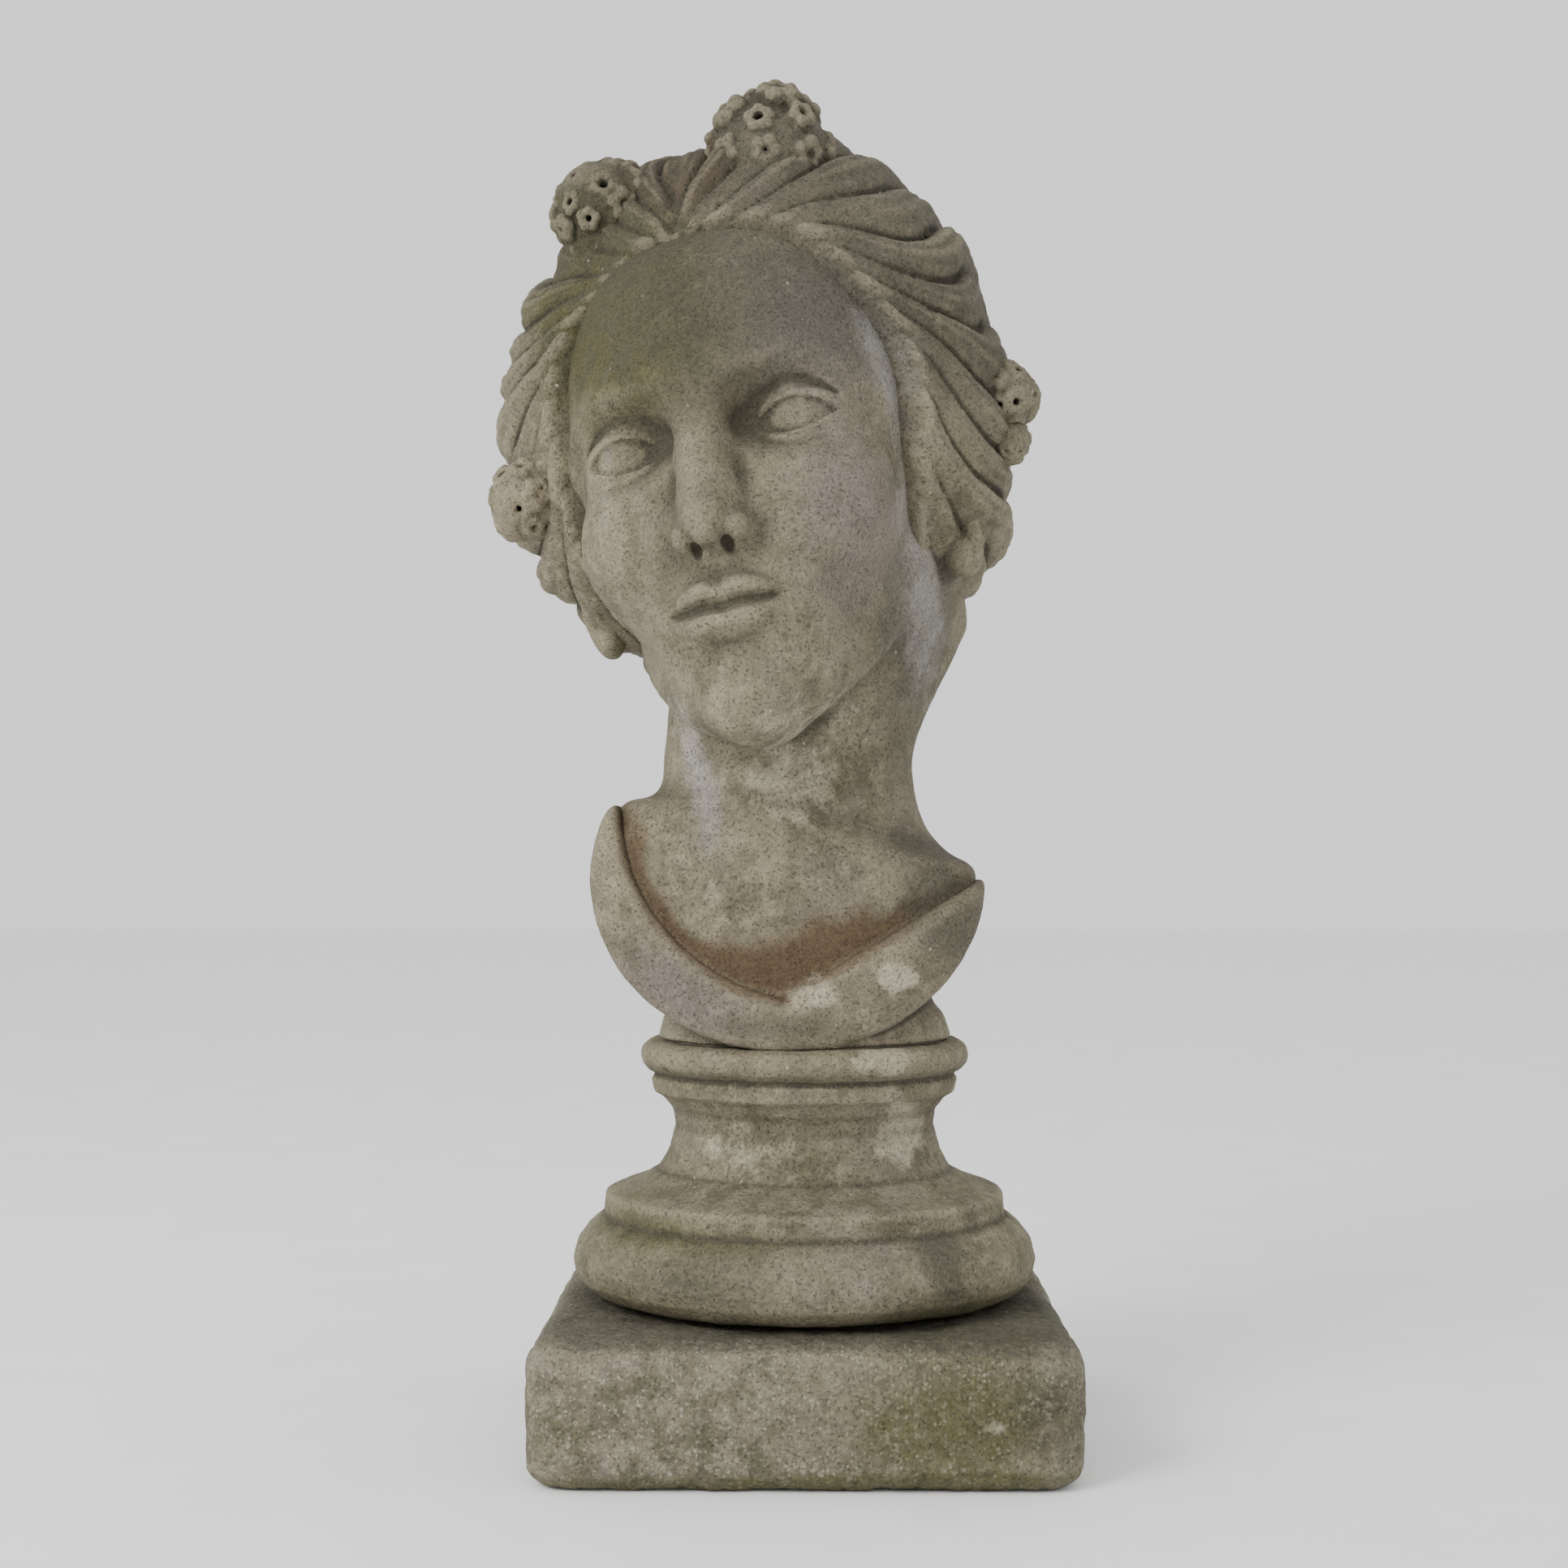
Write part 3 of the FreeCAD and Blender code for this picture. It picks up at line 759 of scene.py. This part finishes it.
def build_socle(step=1.15):
    clay = Clay((-89, -89, 48), (89, 89, 145), step)
    x, y, z = clay.coordinates()
    heights, radii = zip(*SOCLE_OUTLINE)
    profile = np.interp(z, heights, radii).astype(np.float32)
    slope = np.abs(np.gradient(profile.ravel(), clay.step)).reshape(profile.shape)
    side = (np.sqrt(x * x + y * y) - profile) / np.sqrt(1 + slope**2)
    clay.field[...] = smooth_max(side, np.maximum(SOCLE_BOTTOM - z, z - SOCLE_TOP), 1.5)
    for height, radius, count in SOCLE_CHIPS:
        chip_edge(clay, height, radius, count)
    return clay


PLINTH_HALF, PLINTH_HEIGHT = 93.5, 49.0
PLINTH_CORNER, PLINTH_TOP_EDGE, PLINTH_BOTTOM_EDGE = 15.0, 11.0, 8.5


def rounded(a, b, radius):
    """What lies inside both fields, with the edge between them rounded to a true radius."""
    inside = np.maximum(a, b) + radius
    corner = np.sqrt(np.maximum(a + radius, 0) ** 2 + np.maximum(b + radius, 0) ** 2)
    return np.minimum(inside, 0) + corner - radius


def build_plinth(step=1.25):
    clay = Clay((-99, -99, -3), (99, 99, 52), step)
    x, y, z = clay.coordinates()
    plan = rounded(np.abs(x) - PLINTH_HALF, np.abs(y) - PLINTH_HALF, PLINTH_CORNER)
    block = rounded(plan, z - PLINTH_HEIGHT, PLINTH_TOP_EDGE)
    clay.field[...] = rounded(block, -z, PLINTH_BOTTOM_EDGE)
    return clay


# ---------------------------------------------------------------- stains and painted shade
# Soft oval patches on the front of the stone, for each kind of stain. Each patch gives its
# strength, x, z, half width and half height in world millimetres, and some a lean in degrees.
PATCHES = {
    "rust_and_shade": ((1.5, -46, 455, 20, 18), (0.45, 60, 196, 7, 12)),
    "green": (
        (1.0, -60, 396, 36, 48), (0.8, -78, 425, 30, 32), (0.45, -30, 78, 60, 6),
        (0.3, 62, 28, 40, 30), (0.5, -60, 120, 26, 60), (0.5, 40, 20, 60, 26),
    ),
    "mauve": (
        (0.9, 4, 392, 26, 30), (0.8, 16, 322, 26, 38), (0.8, -45, 162, 36, 20, -30),
        (0.5, 30, 108, 24, 30), (0.5, 12, 65, 40, 20),
    ),
    "pale": (
        (1.0, 32, 168, 9, 6), (0.75, 3, 162, 11, 8), (0.8, 27, 139, 15, 6),
        (0.95, 34, 112, 11, 17), (0.4, 16, 262, 12, 8), (0.7, -4, 238, 24, 26),
        (0.55, -28, 108, 24, 14), (0.6, 62, 22, 8, 5), (0.5, 48, 68, 4, 10),
    ),
    "streak": (
        (1.0, 42, 322, 11, 66, 4), (1.4, 31, 386, 11, 22, 18), (1.0, -37, 236, 7, 30, 14),
        (0.45, -68, 345, 3, 40),
    ),
    # The dark patches at x 38 to 40, on the right of the neck and jaw, are painted shade.
    "dark": (
        (0.8, 48, 68, 9, 18, 20), (0.6, -30, 205, 2.5, 12, 14), (0.5, 82, 205, 20, 20),
        (0.45, 40, 288, 26, 24), (0.45, 38, 245, 18, 36), (0.6, -11, 472, 32, 22),
        (0.35, -74, 447, 26, 22), (0.22, -6, 402, 50, 34), (0.9, 54, 194, 24, 28),
        (0.7, -40, 64, 44, 12), (0.6, 84, 26, 26, 34), (0.6, -6, 150, 40, 8),
        (0.48, -34, 312, 46, 66),
    ),
}
INNER_EYES = ((15.0, -84.0, 107.0), (-15.0, -84.0, 107.0))


def patch(p, x, z, across, tall, lean=0.0):
    """How strongly one patch covers each point, from 0 to 1."""
    c, s = math.cos(math.radians(lean)), math.sin(math.radians(lean))
    dx, dz = p[:, 0] - x, p[:, 2] - z
    near = bell(c * dx + s * dz, 0, across) * bell(c * dz - s * dx, 0, tall)
    return near * smoothstep(12, -22, p[:, 1])


def add_stains(surface, rain=1.0):
    """Paints each kind of stain, some with painted shade, as a value from 0 to 1 at every point.
    """
    p = surface.points
    x, y, z = p[:, 0], p[:, 1], p[:, 2]
    stain = {
        kind: sum(strength * patch(p, *shape) for strength, *shape in patches)
        for kind, patches in PATCHES.items()
    }
    # Rust with painted shade lies along the neckline, on the skin beside the dress's raised edge
    # and under the V; painted shade in the rust tint lies in the inner corners of the eyes.
    front = smoothstep(15, -15, y)
    groove = seat_form(x, z)
    width = 5.5 + 10 * bell(x, 2, 30) + 3.5 * noise(p, 11, 4.4)
    skin_side = bell(np.minimum(groove, 0), 0, width) * smoothstep(6, 0.5, groove)
    near_chest = smoothstep(246, 236, z) * smoothstep(150, 156, z)
    uneven = 0.85 + 0.25 * smoothstep(-70, 20, x) + 0.35 * noise(p, 16, 1.7)
    stain["rust_and_shade"] += skin_side * near_chest * front * uneven
    stain["rust_and_shade"] += 0.7 * patch(p, -6, 170, 24, 12) * smoothstep(1, -1, groove)
    # Painted shade, in the rust tint, in the inner corners of the eyes.
    for corner in INNER_EYES:
        eye = HEAD_TURN @ np.array(corner) + HEAD_ORIGIN
        stain["rust_and_shade"] += 0.75 * np.exp(-((p - eye) ** 2).sum(1) / 9.0**2)
    # Green lies low on the plinth, on its top and over the back.
    stain["green"] += 0.7 * smoothstep(9, 3, z) + 0.35 * smoothstep(40, 52, z) * (z < 60)
    stain["green"] += 0.45 * smoothstep(10, 70, y) * smoothstep(-0.4, 0.5, noise(p, 60, 2.2))
    # The dark tint: grime on upward faces; darker over the top of the head, on the plinth's top
    # and round the top of the socle; painted shade down the right side of the neck and head.
    stain["dark"] += 0.50 * smoothstep(330, 400, z)
    stain["dark"] += 0.30 * smoothstep(0.35, 0.95, surface.normals[:, 2])
    # Painted shade on the right side, away from the key light.
    stain["dark"] += 0.30 * smoothstep(-10, 60, x) * smoothstep(250, 300, z)
    stain["dark"] += 0.45 * smoothstep(43, 48, z) * (z < 50.5)
    stain["dark"] += 0.50 * smoothstep(142, 134, z) * smoothstep(129, 131, z)
    stain["streak"] *= rain
    for kind, amount in stain.items():
        surface.paint[kind] = np.clip(amount, 0, 1)


# ---------------------------------------------------------------- materials
class Shader:
    """Builds a node material piece by piece. All sizes are in millimetres."""

    def __init__(self, name):
        self.material = bpy.data.materials.new(name)
        self.material.use_nodes = True
        self.tree = self.material.node_tree
        self.surface = self.tree.nodes["Principled BSDF"]
        coordinates = self.tree.nodes.new("ShaderNodeTexCoord")
        self.place = self.scaled(coordinates.outputs["Object"], (1000, 1000, 1000))

    def link(self, socket, value):
        if isinstance(value, bpy.types.NodeSocket):
            self.tree.links.new(value, socket)
        elif isinstance(value, tuple) and len(value) == 3 and socket.type == "RGBA":
            socket.default_value = (*value, 1)
        else:
            socket.default_value = value

    def scaled(self, vector, scale):
        node = self.tree.nodes.new("ShaderNodeVectorMath")
        node.operation = "MULTIPLY"
        self.link(node.inputs[0], vector)
        node.inputs[1].default_value = scale
        return node.outputs[0]

    def noise(self, size, detail=4.0, rough=0.55, stretch=(1, 1, 1)):
        node = self.tree.nodes.new("ShaderNodeTexNoise")
        self.link(node.inputs["Vector"], self.scaled(self.place, stretch))
        node.inputs["Scale"].default_value = 1 / size
        node.inputs["Detail"].default_value = detail
        node.inputs["Roughness"].default_value = rough
        return node.outputs["Fac"]

    def grains(self, size, output="Distance"):
        """Cells of about the given size: the distance from each one's middle, or its colour."""
        node = self.tree.nodes.new("ShaderNodeTexVoronoi")
        self.link(node.inputs["Vector"], self.place)
        node.inputs["Scale"].default_value = 1 / size
        return node.outputs[output]

    def cell_tone(self, size):
        """A random grey for each grain."""
        colour = self.grains(size, "Color")
        node = self.tree.nodes.new("ShaderNodeSeparateColor")
        self.link(node.inputs[0], colour)
        return node.outputs[0]

    def attribute(self, name):
        node = self.tree.nodes.new("ShaderNodeAttribute")
        node.attribute_name = name
        return node.outputs["Fac"]

    def ramp(self, value, low, high, start=0.0, end=1.0):
        """Goes smoothly from start to end as the value goes from low to high."""
        node = self.tree.nodes.new("ShaderNodeMapRange")
        node.interpolation_type = "SMOOTHSTEP"
        for socket, number in zip(node.inputs, (value, low, high, start, end)):
            self.link(socket, number)
        return node.outputs[0]

    def math(self, operation, a, b):
        node = self.tree.nodes.new("ShaderNodeMath")
        node.operation = operation
        self.link(node.inputs[0], a)
        self.link(node.inputs[1], b)
        return node.outputs[0]

    def plus(self, a, b):
        return self.math("ADD", a, b)

    def minus(self, a, b):
        return self.math("SUBTRACT", a, b)

    def times(self, a, b):
        return self.math("MULTIPLY", a, b)

    def mix(self, amount, below, above, mode="MIX"):
        node = self.tree.nodes.new("ShaderNodeMix")
        node.data_type = "RGBA"
        node.blend_type = mode
        self.link(node.inputs[0], amount)
        self.link(node.inputs[6], below)
        self.link(node.inputs[7], above)
        return node.outputs[2]

    def bump(self, height, depth, under=None):
        node = self.tree.nodes.new("ShaderNodeBump")
        node.inputs["Strength"].default_value = 1.0
        node.inputs["Distance"].default_value = depth * 0.001
        self.link(node.inputs["Height"], height)
        if under is not None:
            self.link(node.inputs["Normal"], under)
        return node.outputs[0]

    def finish(self, colour, rough, normal, specular=0.25, metal=0.0):
        self.link(self.surface.inputs["Base Color"], colour)
        self.link(self.surface.inputs["Roughness"], rough)
        self.link(self.surface.inputs["Normal"], normal)
        self.surface.inputs["Specular IOR Level"].default_value = specular
        self.surface.inputs["Metallic"].default_value = metal
        return self.material


# Each kind of stain: its colour, its strength, and where it starts and ends in the paint's value.
STAIN_LOOKS = (
    ("mauve", (0.165, 0.138, 0.132), 0.60, 0.15, 0.95),
    ("green", (0.058, 0.056, 0.016), 0.88, 0.20, 0.85),
    # This tint also paints shade in the eye corners and along the neckline.
    ("rust_and_shade", (0.072, 0.043, 0.021), 0.85, 0.15, 0.90),
    # This tint also paints shade down the right side.
    ("dark", (0.050, 0.047, 0.036), 0.65, 0.30, 0.80),
    ("streak", (0.340, 0.325, 0.305), 0.55, 0.20, 1.05),
    ("pale", (0.390, 0.355, 0.265), 0.70, 0.38, 0.72),
)
WARM_BLOTCH, LICHEN = (0.155, 0.128, 0.105), (0.125, 0.130, 0.055)
# The first colour here darkens the hollows, as grime and as painted shade.
HOLLOW_DIRT_AND_SHADE, PORE, SPECK = (0.042, 0.038, 0.026), (0.05, 0.045, 0.035), (0.44, 0.41, 0.33)
GRAIN_DARK, GRAIN_LIGHT = (0.30, 0.30, 0.30), (0.72, 0.72, 0.70)
# The pale stones in coarse aggregate, coarse and fine: size and colour.
AGGREGATE_STONES = ((3.1, (0.32, 0.29, 0.22)), (1.6, (0.40, 0.37, 0.29)))


def stone_material(name, light, middle, deep, grain=0.8, aggregate=0.0):
    """Weathered stone: mottled body, grain, lichen, stains, grime and painted shade in hollows,
    worn edges.
    """
    s = Shader(name)
    broad = s.noise(38, 5, 0.6)
    medium = s.noise(9, 6, 0.65)
    fine = s.noise(1.6, 4, 0.7)
    uneven = s.minus(medium, 0.5)
    colour = s.mix(s.ramp(broad, 0.36, 0.64), deep, middle)
    colour = s.mix(s.ramp(medium, 0.40, 0.72, 0.0, 0.75), colour, light)
    colour = s.mix(s.ramp(s.noise(16, 6, 0.7), 0.50, 0.64, 0.0, 0.55), colour, deep)
    colour = s.mix(s.ramp(s.noise(29, 5, 0.65), 0.52, 0.66, 0.0, 0.45), colour, WARM_BLOTCH)
    # Stains painted on the surface, broken up by noise.
    rough_edge = s.times(uneven, 1.1)
    for kind, tint, strength, low, high in STAIN_LOOKS:
        paint = s.attribute(kind)
        shown = s.times(s.ramp(s.plus(paint, rough_edge), low, high), strength)
        shown = s.times(shown, s.ramp(paint, 0.02, 0.15))
        colour = s.mix(shown, colour, tint)
    # Rain streaks and thin lichen, everywhere.
    runs = s.noise(7, 4, 0.6, (1, 1, 0.14))
    colour = s.mix(s.ramp(runs, 0.56, 0.78, 0.0, 0.35), colour, deep)
    lichen = s.times(s.ramp(s.noise(21, 5, 0.7), 0.55, 0.70), s.ramp(fine, 0.40, 0.62))
    colour = s.mix(s.times(lichen, 0.45), colour, LICHEN)
    # Hollows are darkened, as grime and as painted shade; raised edges are rubbed pale.
    hollow = s.plus(s.attribute("fine_hollow"), s.times(s.attribute("broad_hollow"), 0.7))
    dirt_and_shade = s.plus(hollow, s.times(uneven, 0.16))
    colour = s.mix(s.ramp(dirt_and_shade, 0.03, 0.34, 0.0, 0.80), colour, HOLLOW_DIRT_AND_SHADE)
    worn = s.minus(s.times(s.minus(fine, 0.5), 0.25), hollow)
    colour = s.mix(s.ramp(worn, 0.16, 0.52, 0.0, 0.36), colour, light)
    # Grain, dark pores and bright specks.
    cell = s.cell_tone(grain)
    grain_tone = s.mix(s.ramp(cell, 0.0, 1.0), GRAIN_DARK, GRAIN_LIGHT)
    colour = s.mix(0.38, colour, grain_tone, "OVERLAY")
    pore = s.ramp(s.noise(1.1, 2, 0.5), 0.30, 0.40, 1.0, 0.0)
    colour = s.mix(s.times(pore, 0.5), colour, PORE)
    speck_edge = s.plus(s.grains(5.5), s.times(fine, 0.35))
    speck_pick = s.ramp(s.cell_tone(5.5), 0.80, 1.0)
    speck = s.times(s.ramp(speck_edge, 0.20, 0.30, 1.0, 0.0), speck_pick)
    colour = s.mix(s.times(speck, 0.8), colour, SPECK)
    height = s.plus(s.times(fine, 0.8), s.times(cell, 0.25))
    height = s.minus(height, s.times(pore, 0.7))
    normal = s.bump(s.noise(5, 5, 0.65), 1.1)
    if aggregate:
        # Pale stones of two sizes with ragged edges, dulled where stains cover them.
        patchy = s.ramp(medium, 0.34, 0.60, 0.25 * aggregate, aggregate)
        for kind in ("green", "dark"):
            patchy = s.times(patchy, s.ramp(s.attribute(kind), 0.1, 0.9, 1.0, 0.3))
        ragged = s.times(s.noise(1.0, 3, 0.7), 1.5)
        for size, pale in AGGREGATE_STONES:
            far = s.plus(s.grains(size), ragged)
            pick = s.ramp(s.cell_tone(size), 0.25, 0.95)
            stones = s.times(s.times(s.ramp(far, 0.80, 1.30, 1.0, 0.0), pick), patchy)
            colour = s.mix(stones, colour, pale)
            height = s.plus(height, s.times(stones, 0.6))
    rough = s.ramp(medium, 0.2, 0.8, 0.80, 0.97)
    return s.finish(colour, rough, s.bump(height, 0.5, normal))


def mortar_material():
    s = Shader("old_mortar")
    sand = s.cell_tone(0.9)
    body = s.noise(6, 6, 0.7)
    colour = s.mix(s.ramp(body, 0.35, 0.7), (0.14, 0.125, 0.095), (0.22, 0.20, 0.155))
    colour = s.mix(s.ramp(sand, 0.6, 1.0, 0.0, 0.5), colour, (0.14, 0.12, 0.09))
    height = s.plus(body, s.times(sand, 0.4))
    return s.finish(colour, s.ramp(body, 0.2, 0.8, 0.85, 0.98), s.bump(height, 0.6))


def metal_material(name, bright, dull, blotch, metal, rough_low, rough_high, scratch):
    """A worn metal with blotches of oxide and fine scratches."""
    s = Shader(name)
    oxide = s.noise(blotch, 6, 0.65)
    lines = s.noise(1.2, 3, 0.6, scratch)
    colour = s.mix(s.ramp(oxide, 0.40, 0.62), bright, dull)
    colour = s.mix(s.ramp(lines, 0.55, 0.75, 0.0, 0.4), colour, bright)
    rough = s.ramp(s.plus(oxide, s.times(lines, 0.3)), 0.4, 0.9, rough_low, rough_high)
    height = s.plus(oxide, s.times(lines, 0.5))
    return s.finish(colour, rough, s.bump(height, 0.12), 0.5, metal)


# The three stones: light, middle and deep tones, grain size, and share of coarse aggregate.
BUST_STONE = stone_material(
    "bust_stone", (0.290, 0.255, 0.176), (0.190, 0.166, 0.114), (0.104, 0.092, 0.060)
)
SOCLE_STONE = stone_material(
    "socle_stone", (0.275, 0.243, 0.163), (0.175, 0.155, 0.102), (0.094, 0.085, 0.052), 1.0, 0.20
)
PLINTH_STONE = stone_material(
    "plinth_stone", (0.270, 0.242, 0.180), (0.170, 0.152, 0.106), (0.086, 0.079, 0.050), 1.3, 0.95
)
MORTAR = mortar_material()
LEAD = metal_material(
    "lead_sheet", (0.17, 0.175, 0.185), (0.33, 0.33, 0.32), 8, 0.6, 0.45, 0.75, (1, 1, 1)
)
STEEL = metal_material(
    "pin_steel", (0.42, 0.41, 0.39), (0.22, 0.17, 0.13), 5, 0.9, 0.28, 0.60, (1, 1, 0.08)
)


# ---------------------------------------------------------------- pieces
def add_piece(clay, name, body, slot, node, material, wear, pits=0.0, pit_size=3.0, rain=1.0):
    """Stains and weathers the carved clay, and shows it in the place of a CAD node."""
    surface = clay.surface()
    add_stains(surface, rain)
    surface.weather(wear, pits, pit_size)
    obj = surface.mesh(name)
    obj.data.materials.append(material)
    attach(obj, body)
    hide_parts(node)


def add_head_piece(clay, name, wear, *weathering):
    add_piece(clay, name, "bust", "bust_stone", "head_and_neck", BUST_STONE, wear, *weathering)


add_head_piece(build_face(), "face_and_neck", 0.35)
add_head_piece(build_hair(), "hair", 0.7, 0.35, 2.4, 0.3)
for label, centre, radius, count, twist, rise in CLUSTERS:
    add_head_piece(build_cluster(centre, radius, count, twist, rise), label, 1.3, 0.4, 2.4, 0.3)
shoulders, socle, plinth = build_shoulders(), build_socle(), build_plinth()
add_piece(shoulders, "shoulders_stone", "bust", "bust_stone", "shoulders", BUST_STONE, 0.45)
add_piece(socle, "socle_stone", "bust", "bust_stone", "socle", SOCLE_STONE, 0.45)
add_piece(plinth, "plinth_stone", "plinth", "plinth_stone", "plinth", PLINTH_STONE, 0.9, 0.6)

# The hidden fixings keep their CAD shapes and get their materials.
for node, material in (
    ("plinth_pin_grout", MORTAR),
    ("socle_bedding", MORTAR),
    ("socle_pin_grout", MORTAR),
    ("shoulders_pin_grout", MORTAR),
    ("neck_bedding", MORTAR),
    ("neck_pin_grout", MORTAR),
    ("plinth_pin", STEEL),
    ("centre_pin", STEEL),
    ("turning_washer", LEAD),
):
    mesh = frame["nodes"][node].data
    mesh.materials.clear()
    mesh.materials.append(material)

# ---------------------------------------------------------------- floor, lights and camera
FLOOR_REACH = 6.0
FLOOR_WHITE_LOW, FLOOR_WHITE_HIGH = 0.90, 0.93
SKY_STRENGTH = 1.2
AIM = (0, 0, 0.25)
CAMERA_DISTANCE, CAMERA_HEIGHT = 0.841, 0.2083
CAMERA_TILT, CAMERA_TURN = 1.94, 0.515
CAMERA_LENS, CAMERA_SENSOR = 51.82, 36.0

floor_mesh = bpy.data.meshes.new("floor")
corners = [(FLOOR_REACH * i, FLOOR_REACH * j, 0) for i, j in ((-1, -1), (1, -1), (1, 1), (-1, 1))]
floor_mesh.from_pydata(corners, [], [(0, 1, 2, 3)])
floor = add_to_scene("floor", floor_mesh)
look = Shader("studio_floor")
tone = look.ramp(look.noise(60, 3), 0.3, 0.7, FLOOR_WHITE_LOW, FLOOR_WHITE_HIGH)
white = look.mix(tone, (0, 0, 0), (1, 1, 1))
floor_mesh.materials.append(look.finish(white, 0.9, look.bump(tone, 0.1)))

world = bpy.data.worlds.new("studio")
bpy.context.scene.world = world
world.use_nodes = True
sky = world.node_tree.nodes["Background"]
sky.inputs["Color"].default_value = (1, 1, 1, 1)
sky.inputs["Strength"].default_value = SKY_STRENGTH


def soft_light(name, position, size, power):
    data = bpy.data.lights.new(name, "AREA")
    data.size = size
    data.energy = power
    light = add_to_scene(name, data)
    light.location = position
    light.rotation_mode = "QUATERNION"
    light.rotation_quaternion = (Vector(AIM) - Vector(position)).to_track_quat("-Z", "Y")


soft_light("key", (-1.2, -1.2, 1.2), 0.8, 31)
soft_light("fill", (1.4, -0.9, 0.8), 1.2, 2)

camera_data = bpy.data.cameras.new("camera")
camera_data.sensor_width = CAMERA_SENSOR
camera_data.lens = CAMERA_LENS
camera_data.clip_start = 0.01
camera = add_to_scene("camera", camera_data)
camera.location = (0, -CAMERA_DISTANCE, CAMERA_HEIGHT)
camera.rotation_euler = (math.radians(90 + CAMERA_TILT), 0, math.radians(CAMERA_TURN))
bpy.context.scene.camera = camera
